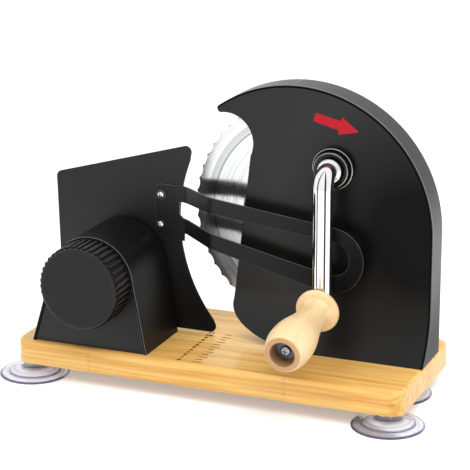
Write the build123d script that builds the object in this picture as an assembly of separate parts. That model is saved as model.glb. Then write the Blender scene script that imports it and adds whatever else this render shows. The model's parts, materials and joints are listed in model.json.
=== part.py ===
from build123d import *
import os
from math import acos, asin, cos, degrees, hypot, pi, radians, sin, tan

# Bread slicer with a hand crank. Millimetres, +Z up.
# The pieces are laid out from a datum corner: X from the board's left side, Y from its
# front face towards the back, Z from the table. They are written about ORIGIN, which is
# the middle of the whole slicer's footprint at table height.

# Board and suction cups
BOARD_LENGTH = 337.0
BOARD_DEPTH = 135.0
BOARD_THICKNESS = 20.0
BOARD_CORNER = 12.0
BOARD_EDGE_ROUND = 3.0
CUP_RADIUS = 29.3
CUP_DISC_RADIUS = 21.5
CUP_NECK_RADIUS = 9.4
CUP_HEIGHT = 13.0
CUP_LIP = 1.2
CUP_SEAL = 4.0
CUP_DOME_HEIGHT = 9.0
CUP_HOLLOW = 4.6
CUP_LEFT_INSET = 10.5
CUP_RIGHT_INSET = 14.5
CUP_BACK_INSET = 29.5
CUP_FRONT_Y = 13.4
CUP_BACK_Y = 82.0

# Round of the blade housing; the right-hand half of the slicer is measured from its middle
HOUSING_RADIUS = 116.0
HOUSING_RIGHT_INSET = 0.5
HOUSING_RIGHT = BOARD_LENGTH - HOUSING_RIGHT_INSET
HOUSING_X = HOUSING_RIGHT - HOUSING_RADIUS
HOUSING_Z = 134.5

# Fasteners
WOOD_SCREW_RADIUS = 2.0
WOOD_SCREW_HEAD_RADIUS = 3.8
WOOD_SCREW_HEAD_HEIGHT = 2.2
WOOD_SCREW_BITE = 12.0
M3_RADIUS = 1.5
M3_HEAD_RADIUS = 2.6
M3_HEAD_HEIGHT = 1.6
SCREW_CLEARANCE = 0.1

# Knob housing, at the left of the board
KNOB_X = 70.8
KNOB_Z = 91.3
CROWN_RADIUS = 36.9
KNOB_HOUSING_LEFT = 14.7
KNOB_HOUSING_RIGHT = 118.9
KNOB_HOUSING_FRONT_Y = 4.4
KNOB_HOUSING_DEPTH = 63.5
KNOB_HOUSING_WALL = 2.0
KNOB_PANEL_THICKNESS = 2.0
KNOB_PANEL_RECESS = 1.2
REAR_PANEL_INSET = 1.8
PANEL_FIT = 0.1
KNOB_BOSS_INSET = 12.0
SCREW_BLIND_END = 2.0

# Thickness knob and its spindle
KNOB_RADIUS = 35.4
KNOB_FRONT_Y = -21.0
KNOB_BACK_GAP = 1.6
KNOB_FLUTES = 42
KNOB_FLUTE_DEPTH = 1.1
KNOB_RIDGE_SHARE = 0.7
KNOB_WALL = 2.5
KNOB_EDGE_ROUND = 1.5
KNOB_BOSS_RADIUS = 8.0
SPINDLE_RADIUS = 4.0
SPINDLE_HOLD = 18.0
SPINDLE_CLIP_RADIUS = 6.0
SPINDLE_CLIP_THICKNESS = 1.2
SPINDLE_BUSH_RADIUS = 6.0
SPINDLE_BUSH_FLANGE = 8.5
SPINDLE_BUSH_LENGTH = 7.0
RUNNING_FIT = 0.08
END_FLOAT = 0.3

# Fence plate, which the loaf leans on, and what guides it
FENCE_FRONT_Y = 73.6
FENCE_THICKNESS = 1.5
FENCE_BOTTOM_GAP = 1.3
FENCE_TRAVEL = 12.0
FENCE_TOP_LEFT = (5.0, 160.3)
FENCE_TOP_RIGHT = (HOUSING_X - 89.3, 195.0)
FENCE_BOTTOM_LEFT_X = 8.0
FENCE_TIP_X = HOUSING_X - 67.0
FENCE_CORNER = 5.0
FENCE_EDGE_TOP = (HOUSING_X - 91.5, 181.0)
FENCE_EDGE_MIDDLE = (HOUSING_X - 100.9, 125.0)
FENCE_EDGE_LOW = (HOUSING_X - 72.0, 45.5)
NUT_RADIUS = 7.0
NUT_FRONT_Y = 38.0
NUT_FLANGE_RADIUS = 14.0
NUT_FLANGE_THICKNESS = 3.0
NUT_RIVETS = 3
NUT_RIVET_CIRCLE = 10.5
GUIDE_ROD_RADIUS = 3.0
GUIDE_ROD_SPREAD = 26.0
GUIDE_ROD_Z = 66.0
GUIDE_ROD_SPARE = 14.0
GUIDE_ROD_TENON = 2.0
GUIDE_BUSH_WALL = 2.0
GUIDE_BUSH_FLANGE = 7.0
FLANGE_THICKNESS = 1.4

# Fork guard, bent from one strip and screwed to the fence
FORK_THICKNESS = 1.5
FORK_CLEARANCE = 1.5
FORK_LEFT = HOUSING_X - 122.9
FORK_BEND_START_X = FORK_LEFT + 28.4
FORK_BEND_END_X = FORK_BEND_START_X + 26.0
FORK_BEND_RADIUS = 12.0
FORK_TOP = 159.3
FORK_BOTTOM = 112.0
FORK_BRACKET_RIGHT = FORK_LEFT + 23.4
FORK_CORNER = 5.5
FORK_LOWER_START = (FORK_LEFT + 22.9, 119.5)
FORK_LOOP_CENTRE = (HOUSING_X + 36.7, 114.0)
FORK_LOOP_RADIUS = 27.4
FORK_SLOT_LEFT = FORK_LEFT + 22.2
FORK_SLOT_TOP = 145.5
FORK_SLOT_BOTTOM = 131.5
FORK_SLOT_CHAMFER = 3.0
FORK_SLOT_CENTRE = (HOUSING_X + 38.0, 115.5)
FORK_SLOT_RADIUS = 14.3
FORK_SCREWS = ((FORK_LEFT + 5.8, 150.5), (FORK_LEFT + 5.0, 124.8))
FORK_WASHER_RADIUS = 4.6
WASHER_THICKNESS = 0.8

# Blade housing: a front shell with a flared foot, and a rim band in two strips. The bite
# and the horn above it grow with the round that they are cut from.
HOUSING_FACE_Y = 75.0
HOUSING_BACK_Y = 103.0
HOUSING_WALL = 2.0
FLARE_RADIUS = 64.0
FLARE_START_Z = 78.0
SEAM_ANGLE = 92.0
HORN_ANGLE = 126.0
BITE_CENTRE = (HOUSING_X - HOUSING_RADIUS * 0.5207, HOUSING_Z + HOUSING_RADIUS * 0.5655)
BITE_RADIUS = HOUSING_RADIUS * 0.2086
BITE_TOP_ANGLE = 103.5
BITE_BOTTOM_ANGLE = -25.0
BITE_RIGHT_ANGLE = (BITE_TOP_ANGLE + BITE_BOTTOM_ANGLE) / 2
HORN_ROUND = HOUSING_RADIUS * 0.0215
SHELL_LEFT_X = HOUSING_X - 53.5
SHELL_CORNER_RUN = 75.0
SHELL_CORNER_RISE = 30.0
FOOT_BOSS_RADIUS = 4.5
FOOT_BOSS_HEIGHT = 40.0
FOOT_BOSSES = ((HOUSING_X - 7.5, 71.0), (HOUSING_RIGHT - 36.5, 71.0), (HOUSING_RIGHT - 6.5, 94.0))

# Gear train and blade
GEAR_MODULE = 1.5
BLADE_TEETH = 52
CRANK_TEETH = 22
PRESSURE_ANGLE = 20.0
GEAR_BACKLASH = 0.25
CRANK_DIRECTION = 55.0
BLADE_X = HOUSING_X + 1.8
BLADE_Z = HOUSING_Z + 6.8
BLADE_RADIUS = 95.0
BLADE_FRONT_Y = 89.0
BLADE_THICKNESS = 1.2
BLADE_BEVEL_RADIUS = 84.4
BLADE_EDGE_THICKNESS = 0.3
BLADE_SCALLOPS = 54
BLADE_SCALLOP_DEPTH = 1.9
BLADE_HUB_RADIUS = 18.0
BLADE_SPIGOT_RADIUS = 9.0
BLADE_SCREWS = 3
BLADE_SCREW_CIRCLE = 13.5
CLAMP_RING_THICKNESS = 1.5
STUD_RADIUS = 5.0
STUD_FLANGE_RADIUS = 12.0
STUD_FLANGE_THICKNESS = 1.0
AXLE_SCREW_RADIUS = 2.0
AXLE_SCREW_HEAD_RADIUS = 4.0
AXLE_SCREW_LENGTH = 12.0
AXLE_WASHER_RADIUS = 7.5
GEAR_THICKNESS = 5.0
GEAR_GAP = 0.3
BEARING_PLATE_THICKNESS = 3.0
PLATE_MARGIN = 7.0
PLATE_CRANK_RADIUS = 28.0
PLATE_SCREW_INSET = 3.2
PLATE_SCREW_ANGLES = (150.0, 205.0, 260.0, 330.0)
PLATE_CRANK_SCREW_ANGLES = (-10.0, 100.0)

# Crank
CRANK_BUSH_RADIUS = 8.0
CRANK_BUSH_FLANGE_RADIUS = 11.0
CRANK_BUSH_FLANGE = 1.0
CRANK_SHAFT_RADIUS = 5.0
HUB_BEZEL_RADIUS = 17.3
HUB_BEZEL_HEIGHT = 5.5
HUB_NUT_RADIUS = 14.7
HUB_NUT_HEIGHT = 4.5
HUB_EDGE_CHAMFER = 0.8
COLLAR_RADIUS = 10.1
COLLAR_LENGTH = 3.6
ROD_RADIUS = 7.0
ROD_Y = 48.0
ROD_BEND_RADIUS = 12.0
ROD_END_ROUND = 2.0
ROD_FLAT = 1.2
CRANK_RADIUS = 107.5
ROD_BELOW_GRIP = 8.0
CLIP_RADIUS = 7.5
CLIP_THICKNESS = 1.0
SHAFT_END_GAP = 0.8

# Wooden grip
GRIP_DROOP = 7.5
GRIP_LENGTH = 82.0
GRIP_FLANGE_RADIUS = 18.1
GRIP_FLANGE_THICKNESS = 5.5
GRIP_NECK_RADIUS = 10.8
GRIP_NECK_AT = 12.5
GRIP_COVE = 1.4
GRIP_BELLY_RADIUS = 18.2
GRIP_BELLY_AT = 60.0
GRIP_END_RADIUS = 13.6
GRIP_EDGE_ROUND = 2.2
GRIP_BORE_RADIUS = 3.28
GRIP_RECESS_RADIUS = 9.8
GRIP_RECESS_DEPTH = 9.0
GRIP_SCREW_RADIUS = 3.2
GRIP_SCREW_BITE = 8.0
GRIP_SCREW_HEAD_RADIUS = 4.2
GRIP_SCREW_HEAD_HEIGHT = 2.6
GRIP_WASHER_RADIUS = 14.0
GRIP_CUP_WASHER_RADIUS = 8.6

# Places that follow from the sizes above
BOARD_BOTTOM = CUP_HEIGHT
BOARD_TOP = CUP_HEIGHT + BOARD_THICKNESS
CUPS = {
    "front_left": (CUP_LEFT_INSET, CUP_FRONT_Y),
    "front_right": (BOARD_LENGTH - CUP_RIGHT_INSET, CUP_FRONT_Y),
    "back_left": (CUP_BACK_INSET, CUP_BACK_Y),
    "back_right": (BOARD_LENGTH - CUP_BACK_INSET, CUP_BACK_Y),
}
CENTRE_DISTANCE = GEAR_MODULE * (BLADE_TEETH + CRANK_TEETH) / 2
CRANK_X = BLADE_X + CENTRE_DISTANCE * cos(radians(CRANK_DIRECTION))
CRANK_Z = BLADE_Z + CENTRE_DISTANCE * sin(radians(CRANK_DIRECTION))
SHELL_BACK_Y = HOUSING_FACE_Y + HOUSING_WALL
PLATE_BACK_Y = SHELL_BACK_Y + BEARING_PLATE_THICKNESS
GEAR_FRONT_Y = PLATE_BACK_Y + CRANK_BUSH_FLANGE + GEAR_GAP
GEAR_BACK_Y = GEAR_FRONT_Y + GEAR_THICKNESS
BLADE_BACK_Y = BLADE_FRONT_Y + BLADE_THICKNESS
CLAMP_BACK_Y = BLADE_BACK_Y + CLAMP_RING_THICKNESS
BLADE_GEAR_TIP = GEAR_MODULE * (BLADE_TEETH / 2 + 1)
PLATE_BLADE_RADIUS = BLADE_GEAR_TIP + PLATE_MARGIN
BEZEL_FRONT_Y = HOUSING_FACE_Y - HUB_BEZEL_HEIGHT
NUT_RING_FRONT_Y = BEZEL_FRONT_Y - HUB_NUT_HEIGHT
COLLAR_FRONT_Y = NUT_RING_FRONT_Y - END_FLOAT - COLLAR_LENGTH
KNOB_HOUSING_BACK_Y = KNOB_HOUSING_FRONT_Y + KNOB_HOUSING_DEPTH
FRONT_PANEL_Y = KNOB_HOUSING_FRONT_Y + KNOB_PANEL_RECESS
FRONT_PANEL_BACK_Y = FRONT_PANEL_Y + KNOB_PANEL_THICKNESS
REAR_PANEL_BACK_Y = KNOB_HOUSING_BACK_Y - REAR_PANEL_INSET
REAR_PANEL_Y = REAR_PANEL_BACK_Y - KNOB_PANEL_THICKNESS
BUSH_FRONT_Y = FRONT_PANEL_Y - FLANGE_THICKNESS
KNOB_BACK_Y = FRONT_PANEL_Y - KNOB_BACK_GAP
SPINDLE_BACK_Y = NUT_FRONT_Y + FENCE_TRAVEL + SPINDLE_HOLD
GUIDE_ROD_FRONT_Y = REAR_PANEL_Y - FLANGE_THICKNESS - FENCE_TRAVEL - GUIDE_ROD_SPARE
FENCE_BACK_Y = FENCE_FRONT_Y + FENCE_THICKNESS
FENCE_BOTTOM = BOARD_TOP + FENCE_BOTTOM_GAP
FORK_BACK_Y = HOUSING_FACE_Y - FENCE_TRAVEL - FORK_CLEARANCE
FORK_FRONT_Y = FORK_BACK_Y - FORK_THICKNESS
GRIP_Z = CRANK_Z - CRANK_RADIUS
GRIP_SEAT = ROD_RADIUS - ROD_FLAT
GRIP_START = GRIP_SEAT + WASHER_THICKNESS + END_FLOAT
GRIP_AXIS = (0.0, -cos(radians(GRIP_DROOP)), -sin(radians(GRIP_DROOP)))
GRIP_END = GRIP_START + GRIP_LENGTH
GUIDE_RODS = ((KNOB_X - GUIDE_ROD_SPREAD, GUIDE_ROD_Z), (KNOB_X + GUIDE_ROD_SPREAD, GUIDE_ROD_Z))
KNOB_HOUSING_BOSSES = (
    (KNOB_HOUSING_LEFT + KNOB_BOSS_INSET, KNOB_HOUSING_FRONT_Y + KNOB_BOSS_INSET),
    (KNOB_HOUSING_RIGHT - KNOB_BOSS_INSET, KNOB_HOUSING_FRONT_Y + KNOB_BOSS_INSET),
    (KNOB_HOUSING_LEFT + KNOB_BOSS_INSET, KNOB_HOUSING_BACK_Y - KNOB_BOSS_INSET),
    (KNOB_HOUSING_RIGHT - KNOB_BOSS_INSET, KNOB_HOUSING_BACK_Y - KNOB_BOSS_INSET),
)

# The footprint runs between the front cups' outer rims, and from the grip's end to the
# board's back edge.
FRONT_REACH = ROD_Y + GRIP_AXIS[1] * GRIP_END - GRIP_END_RADIUS * sin(radians(GRIP_DROOP))
ORIGIN_X = (CUP_LEFT_INSET + BOARD_LENGTH - CUP_RIGHT_INSET) / 2
ORIGIN_Y = (FRONT_REACH + BOARD_DEPTH) / 2


def plate(outline, y_front, y_back):
    """A sheet with its outline in X and Z, between two Y values."""
    return extrude(Plane.XZ.offset(-y_back) * outline, y_back - y_front)


def disc(x, z, radius, y_front, y_back):
    """A round bar along Y."""
    return plate(Pos(x, z) * Circle(radius), y_front, y_back)


def ring(x, z, outer, bore, y_front, y_back):
    """A round sleeve along Y."""
    return plate(Pos(x, z) * (Circle(outer) - Circle(bore)), y_front, y_back)


def post(x, y, radius, z_low, z_high):
    """A round bar along Z."""
    return Pos(x, y, z_low) * extrude(Circle(radius), z_high - z_low)


def around(x, z, radius, count, start=90.0):
    """Points spread evenly on a circle in X and Z."""
    turns = [radians(start + 360.0 * k / count) for k in range(count)]
    return [(x + radius * cos(a), z + radius * sin(a)) for a in turns]


def polar(centre, radius, angle):
    """A point at an angle in degrees about a centre."""
    return (centre[0] + radius * cos(radians(angle)), centre[1] + radius * sin(radians(angle)))


def hull_face(centre, radius, points):
    """The convex outline round a circle and some points, filled."""
    edges = [e for e in (Pos(*centre) * Circle(radius)).edges()]
    edges += [Line(a, b) for a, b in zip(points[:-1], points[1:])]
    return make_hull(edges)


def spun(profile, x, z):
    """A body of revolution about an axis along Y; the profile is (radius, Y)."""
    return Pos(x, 0, z) * revolve(make_face(profile), Axis.Y)


def wood_screw(x, y, z_head, length):
    """Flat-headed wood screw, driven upwards from z_head."""
    head = post(x, y, WOOD_SCREW_HEAD_RADIUS, z_head, z_head + WOOD_SCREW_HEAD_HEIGHT)
    shank_start = z_head + WOOD_SCREW_HEAD_HEIGHT
    return head + post(x, y, WOOD_SCREW_RADIUS, shank_start, shank_start + length)


def pan_screw(x, z, y_seat, length, towards):
    """Machine screw along Y; its head lies on y_seat and its shank runs the way of towards."""
    head = disc(x, z, M3_HEAD_RADIUS, *sorted((y_seat, y_seat - towards * M3_HEAD_HEIGHT)))
    return head + disc(x, z, M3_RADIUS, *sorted((y_seat, y_seat + towards * length)))


# ---- board and feet ----

def base_board():
    body = Pos(BOARD_LENGTH / 2, BOARD_DEPTH / 2, BOARD_BOTTOM) * extrude(
        RectangleRounded(BOARD_LENGTH, BOARD_DEPTH, BOARD_CORNER), BOARD_THICKNESS)
    body = fillet(body.edges().group_by(Axis.Z)[-1], BOARD_EDGE_ROUND)
    for x, y in CUPS.values():
        body -= post(x, y, WOOD_SCREW_RADIUS, BOARD_BOTTOM, BOARD_BOTTOM + WOOD_SCREW_BITE)
    for x, y in FOOT_BOSSES + KNOB_HOUSING_BOSSES:
        seat = BOARD_BOTTOM + WOOD_SCREW_HEAD_HEIGHT
        body -= post(x, y, WOOD_SCREW_HEAD_RADIUS + SCREW_CLEARANCE, BOARD_BOTTOM, seat)
        body -= post(x, y, WOOD_SCREW_RADIUS + SCREW_CLEARANCE, seat, BOARD_TOP)
    return body


def suction_cup(x, y):
    """Soft cup: a wide thin lip, a raised disc and a neck, hollow below."""
    lip_inner = CUP_RADIUS - CUP_SEAL
    step = CUP_LIP * 2
    neck_foot = CUP_DOME_HEIGHT - 1.5 * CUP_LIP
    points = [
        (WOOD_SCREW_RADIUS, CUP_HOLLOW), (WOOD_SCREW_RADIUS, CUP_HEIGHT), (CUP_NECK_RADIUS, CUP_HEIGHT),
        (CUP_NECK_RADIUS, neck_foot), (CUP_DISC_RADIUS, step + CUP_LIP), (CUP_DISC_RADIUS, step),
        (CUP_RADIUS, CUP_LIP), (CUP_RADIUS, 0), (lip_inner, 0), (CUP_NECK_RADIUS, CUP_HOLLOW),
    ]
    profile = make_face(Polyline(*points, close=True))
    return Pos(x, y, 0) * revolve(Plane.XZ * profile, Axis.Z)


def cup_screws():
    z_head = CUP_HOLLOW - WOOD_SCREW_HEAD_HEIGHT
    length = CUP_HEIGHT - CUP_HOLLOW + WOOD_SCREW_BITE - SCREW_CLEARANCE
    return [wood_screw(x, y, z_head, length) for x, y in CUPS.values()]


# ---- knob housing ----

def knob_housing_outline():
    """A round crown with straight sides that run to the two feet."""
    feet = [(KNOB_HOUSING_LEFT, BOARD_TOP), (KNOB_HOUSING_RIGHT, BOARD_TOP)]
    return hull_face((KNOB_X, KNOB_Z), CROWN_RADIUS, feet)


def knob_housing_inside():
    """The wrap's inner outline, open at the board."""
    inner = offset(knob_housing_outline(), amount=-KNOB_HOUSING_WALL)
    foot = inner.edges().sort_by(Axis.Y)[0]
    gap = Pos(foot.center().X, BOARD_TOP + KNOB_HOUSING_WALL / 2)
    return inner + gap * Rectangle(foot.length, KNOB_HOUSING_WALL)


def knob_housing():
    wrap = plate(knob_housing_outline() - knob_housing_inside(), KNOB_HOUSING_FRONT_Y, KNOB_HOUSING_BACK_Y)
    inside = plate(knob_housing_inside(), KNOB_HOUSING_FRONT_Y, KNOB_HOUSING_BACK_Y)
    web_reach = KNOB_BOSS_INSET + FOOT_BOSS_RADIUS
    for x, y in KNOB_HOUSING_BOSSES:
        boss = post(x, y, FOOT_BOSS_RADIUS, BOARD_TOP, BOARD_TOP + WOOD_SCREW_BITE + SCREW_BLIND_END)
        side = -1 if x < KNOB_X else 1
        web = Pos(x + side * web_reach / 2, y, BOARD_TOP + WOOD_SCREW_BITE / 2) * Box(
            web_reach, KNOB_HOUSING_WALL, WOOD_SCREW_BITE)
        wrap += (boss + web) & inside
        wrap -= post(x, y, WOOD_SCREW_RADIUS, BOARD_TOP, BOARD_TOP + WOOD_SCREW_BITE)
    return wrap


def knob_front_panel():
    outline = offset(knob_housing_inside(), amount=-PANEL_FIT)
    hole = Pos(KNOB_X, KNOB_Z) * Circle(SPINDLE_BUSH_RADIUS)
    return plate(outline - hole, FRONT_PANEL_Y, FRONT_PANEL_BACK_Y)


def knob_rear_panel():
    outline = offset(knob_housing_inside(), amount=-PANEL_FIT)
    outline -= Pos(KNOB_X, KNOB_Z) * Circle(NUT_RADIUS + END_FLOAT)
    for x, z in GUIDE_RODS:
        outline -= Pos(x, z) * Circle(GUIDE_ROD_RADIUS + GUIDE_BUSH_WALL)
    return plate(outline, REAR_PANEL_Y, REAR_PANEL_BACK_Y)


def flanged_bush(x, z, bore, outer, flange, y_flange, y_end):
    """Plain bearing bush: a flange seated at y_flange and a sleeve that runs back to y_end."""
    body = ring(x, z, flange, bore, y_flange, y_flange + FLANGE_THICKNESS)
    return body + ring(x, z, outer, bore, y_flange + FLANGE_THICKNESS, y_end)


def spindle_bush():
    return flanged_bush(KNOB_X, KNOB_Z, SPINDLE_RADIUS + RUNNING_FIT, SPINDLE_BUSH_RADIUS,
                        SPINDLE_BUSH_FLANGE, BUSH_FRONT_Y, BUSH_FRONT_Y + SPINDLE_BUSH_LENGTH)


def guide_bushes():
    outer = GUIDE_ROD_RADIUS + GUIDE_BUSH_WALL
    y_flange = REAR_PANEL_Y - FLANGE_THICKNESS
    return [flanged_bush(x, z, GUIDE_ROD_RADIUS + RUNNING_FIT, outer, GUIDE_BUSH_FLANGE,
                         y_flange, REAR_PANEL_BACK_Y) for x, z in GUIDE_RODS]


def foot_screws(places):
    length = BOARD_THICKNESS - WOOD_SCREW_HEAD_HEIGHT + WOOD_SCREW_BITE - SCREW_CLEARANCE
    return [wood_screw(x, y, BOARD_BOTTOM, length) for x, y in places]


# ---- thickness knob ----

def fluted_outline(x, z, radius, depth, count):
    """A round outline with evenly spaced rounded flutes."""
    pitch = 360.0 / count
    edges = []
    for k in range(count):
        angle = k * pitch
        ridge_start = polar((x, z), radius - depth, angle)
        ridge_top = polar((x, z), radius, angle + pitch * KNOB_RIDGE_SHARE / 2)
        ridge_end = polar((x, z), radius - depth, angle + pitch * KNOB_RIDGE_SHARE)
        next_start = polar((x, z), radius - depth, angle + pitch)
        edges += [ThreePointArc(ridge_start, ridge_top, ridge_end), Line(ridge_end, next_start)]
    return make_face(edges)


def thickness_knob():
    face_radius = KNOB_RADIUS - KNOB_FLUTE_DEPTH
    skirt_front = KNOB_FRONT_Y + KNOB_EDGE_ROUND
    cap = disc(KNOB_X, KNOB_Z, face_radius, KNOB_FRONT_Y, skirt_front + KNOB_WALL)
    cap = fillet(cap.edges().group_by(Axis.Y)[0], KNOB_EDGE_ROUND)
    skirt = plate(fluted_outline(KNOB_X, KNOB_Z, KNOB_RADIUS, KNOB_FLUTE_DEPTH, KNOB_FLUTES),
                  skirt_front, KNOB_BACK_Y)
    body = cap + skirt
    hollow_front = skirt_front + KNOB_WALL
    body -= ring(KNOB_X, KNOB_Z, face_radius - KNOB_WALL, KNOB_BOSS_RADIUS, hollow_front, KNOB_BACK_Y)
    boss_back = BUSH_FRONT_Y - END_FLOAT
    body -= disc(KNOB_X, KNOB_Z, KNOB_BOSS_RADIUS + KNOB_WALL, boss_back, KNOB_BACK_Y)
    return body - disc(KNOB_X, KNOB_Z, SPINDLE_RADIUS, skirt_front + KNOB_WALL / 2, KNOB_BACK_Y)


def spindle():
    front = KNOB_FRONT_Y + KNOB_EDGE_ROUND + KNOB_WALL / 2
    return disc(KNOB_X, KNOB_Z, SPINDLE_RADIUS, front, SPINDLE_BACK_Y)


def spindle_clip():
    front = BUSH_FRONT_Y + SPINDLE_BUSH_LENGTH + END_FLOAT
    return ring(KNOB_X, KNOB_Z, SPINDLE_CLIP_RADIUS, SPINDLE_RADIUS, front, front + SPINDLE_CLIP_THICKNESS)


# ---- fence and fork guard ----

def fence_outline():
    """Leaning left edge, rising top, and a right edge hollowed to clear the blade."""
    edges = [
        Line((FENCE_BOTTOM_LEFT_X, FENCE_BOTTOM), FENCE_TOP_LEFT),
        Line(FENCE_TOP_LEFT, FENCE_TOP_RIGHT),
        Line(FENCE_TOP_RIGHT, FENCE_EDGE_TOP),
        ThreePointArc(FENCE_EDGE_TOP, FENCE_EDGE_MIDDLE, FENCE_EDGE_LOW),
        Line(FENCE_EDGE_LOW, (FENCE_TIP_X, FENCE_BOTTOM)),
        Line((FENCE_TIP_X, FENCE_BOTTOM), (FENCE_BOTTOM_LEFT_X, FENCE_BOTTOM)),
    ]
    face = make_face(edges)
    corners = [v for v in face.vertices() if near_any(v, (FENCE_TOP_LEFT, FENCE_TOP_RIGHT))]
    face = fillet(corners, FENCE_CORNER)
    tip = [v for v in face.vertices() if near_any(v, ((FENCE_TIP_X, FENCE_BOTTOM),))]
    return fillet(tip, FENCE_CORNER)


def near_any(vertex, places):
    return any(hypot(vertex.X - x, vertex.Y - z) < END_FLOAT for x, z in places)


def fence_plate():
    outline = fence_outline()
    for x, z in FORK_SCREWS:
        outline -= Pos(x, z) * Circle(M3_RADIUS)
    for x, z in around(KNOB_X, KNOB_Z, NUT_RIVET_CIRCLE, NUT_RIVETS):
        outline -= Pos(x, z) * Circle(M3_RADIUS)
    for x, z in GUIDE_RODS:
        outline -= Pos(x, z) * Circle(GUIDE_ROD_TENON)
    return plate(outline, FENCE_FRONT_Y, FENCE_BACK_Y)


def fence_nut():
    """Sleeve nut that the spindle draws the fence by."""
    flange_front = FENCE_FRONT_Y - NUT_FLANGE_THICKNESS
    bore = SPINDLE_RADIUS + RUNNING_FIT
    flange = Pos(KNOB_X, KNOB_Z) * Circle(NUT_FLANGE_RADIUS)
    for x, z in around(KNOB_X, KNOB_Z, NUT_RIVET_CIRCLE, NUT_RIVETS):
        flange -= Pos(x, z) * Circle(M3_RADIUS)
    sleeve = disc(KNOB_X, KNOB_Z, NUT_RADIUS, NUT_FRONT_Y, flange_front)
    body = plate(flange, flange_front, FENCE_FRONT_Y) + sleeve
    return body - disc(KNOB_X, KNOB_Z, bore, NUT_FRONT_Y, flange_front + NUT_FLANGE_THICKNESS / 2)


def nut_rivets():
    seat = FENCE_FRONT_Y - NUT_FLANGE_THICKNESS
    grip = FENCE_BACK_Y - seat
    return [pan_screw(x, z, seat, grip, 1) for x, z in around(KNOB_X, KNOB_Z, NUT_RIVET_CIRCLE, NUT_RIVETS)]


def guide_rods():
    return [disc(x, z, GUIDE_ROD_RADIUS, GUIDE_ROD_FRONT_Y, FENCE_FRONT_Y)
            + disc(x, z, GUIDE_ROD_TENON, FENCE_FRONT_Y, FENCE_BACK_Y) for x, z in GUIDE_RODS]


def fork_outline():
    """Two prongs that close in a round loop, on a square bracket."""
    prong_start = [(FORK_BRACKET_RIGHT, FORK_TOP), FORK_LOWER_START]
    outer = hull_face(FORK_LOOP_CENTRE, FORK_LOOP_RADIUS, prong_start)
    width = FORK_BRACKET_RIGHT + FORK_SLOT_CHAMFER - FORK_LEFT
    height = FORK_TOP - FORK_BOTTOM
    bracket = Pos(FORK_LEFT + width / 2, FORK_BOTTOM + height / 2) * Rectangle(width, height)
    left = bracket.vertices().group_by(Axis.X)[0]
    bracket = fillet(left, FORK_CORNER)
    slot_start = [
        (FORK_SLOT_LEFT, FORK_SLOT_TOP),
        (FORK_SLOT_LEFT, FORK_SLOT_BOTTOM + FORK_SLOT_CHAMFER),
        (FORK_SLOT_LEFT + FORK_SLOT_CHAMFER, FORK_SLOT_BOTTOM),
    ]
    outline = outer + bracket - hull_face(FORK_SLOT_CENTRE, FORK_SLOT_RADIUS, slot_start)
    for x, z in FORK_SCREWS:
        outline -= Pos(x, z) * Circle(M3_RADIUS)
    return outline


def fork_guard():
    """The flat outline cut from a strip that is bent forward between bracket and prongs."""
    far = FORK_LOOP_CENTRE[0] + FORK_LOOP_RADIUS + FORK_THICKNESS
    path = FilletPolyline(
        (FORK_LEFT - FORK_THICKNESS, FENCE_FRONT_Y), (FORK_BEND_START_X, FENCE_FRONT_Y),
        (FORK_BEND_END_X, FORK_BACK_Y), (far, FORK_BACK_Y), radius=FORK_BEND_RADIUS)
    shifted = offset(path, amount=FORK_THICKNESS, side=Side.RIGHT, closed=False)
    strip = make_face(path.edges() + shifted.edges()
                      + [Line(path @ 0, nearest_end(shifted, path @ 0))]
                      + [Line(path @ 1, nearest_end(shifted, path @ 1))])
    low = FORK_LOOP_CENTRE[1] - FORK_LOOP_RADIUS - FORK_THICKNESS
    sheet = Pos(0, 0, low) * extrude(strip, FORK_TOP + FORK_THICKNESS - low)
    blank = plate(fork_outline(), FORK_FRONT_Y - FORK_THICKNESS, FENCE_FRONT_Y)
    return blank & sheet


def nearest_end(wire, point):
    ends = (wire @ 0, wire @ 1)
    return min(ends, key=lambda end: (end - point).length)


def fork_washers():
    back = FENCE_FRONT_Y - FORK_THICKNESS
    return [ring(x, z, FORK_WASHER_RADIUS, M3_RADIUS, back - WASHER_THICKNESS, back) for x, z in FORK_SCREWS]


def fork_screws():
    seat = FENCE_FRONT_Y - FORK_THICKNESS - WASHER_THICKNESS
    return [pan_screw(x, z, seat, FENCE_BACK_Y - seat, 1) for x, z in FORK_SCREWS]


# ---- blade housing ----

def shell_outline():
    """The front shell seen square on: round top, bite at the upper left, rounded lower left."""
    centre = (HOUSING_X, HOUSING_Z)
    horn = polar(centre, HOUSING_RADIUS, HORN_ANGLE)
    bite_top = polar(BITE_CENTRE, BITE_RADIUS, BITE_TOP_ANGLE)
    bite_right = polar(BITE_CENTRE, BITE_RADIUS, BITE_RIGHT_ANGLE)
    bite_end = polar(BITE_CENTRE, BITE_RADIUS, BITE_BOTTOM_ANGLE)
    corner_top = (SHELL_LEFT_X, BOARD_TOP + SHELL_CORNER_RISE)
    corner_end = (SHELL_LEFT_X + SHELL_CORNER_RUN, BOARD_TOP)
    corner_centre = (SHELL_LEFT_X + SHELL_CORNER_RUN, BOARD_TOP + SHELL_CORNER_RISE)
    side_top = (HOUSING_RIGHT, HOUSING_Z)
    edges = [
        Line(corner_end, (HOUSING_RIGHT, BOARD_TOP)),
        Line((HOUSING_RIGHT, BOARD_TOP), side_top),
        ThreePointArc(side_top, polar(centre, HOUSING_RADIUS, HORN_ANGLE / 2), horn),
        Line(horn, bite_top),
        ThreePointArc(bite_top, bite_right, bite_end),
        Line(bite_end, corner_top),
        Pos(*corner_centre) * EllipticalCenterArc(
            (0, 0), SHELL_CORNER_RUN, SHELL_CORNER_RISE, start_angle=180, arc_size=90),
    ]
    face = make_face(edges)
    tips = [v for v in face.vertices() if near_any(v, (horn, bite_top))]
    return fillet(tips, HORN_ROUND)


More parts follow.
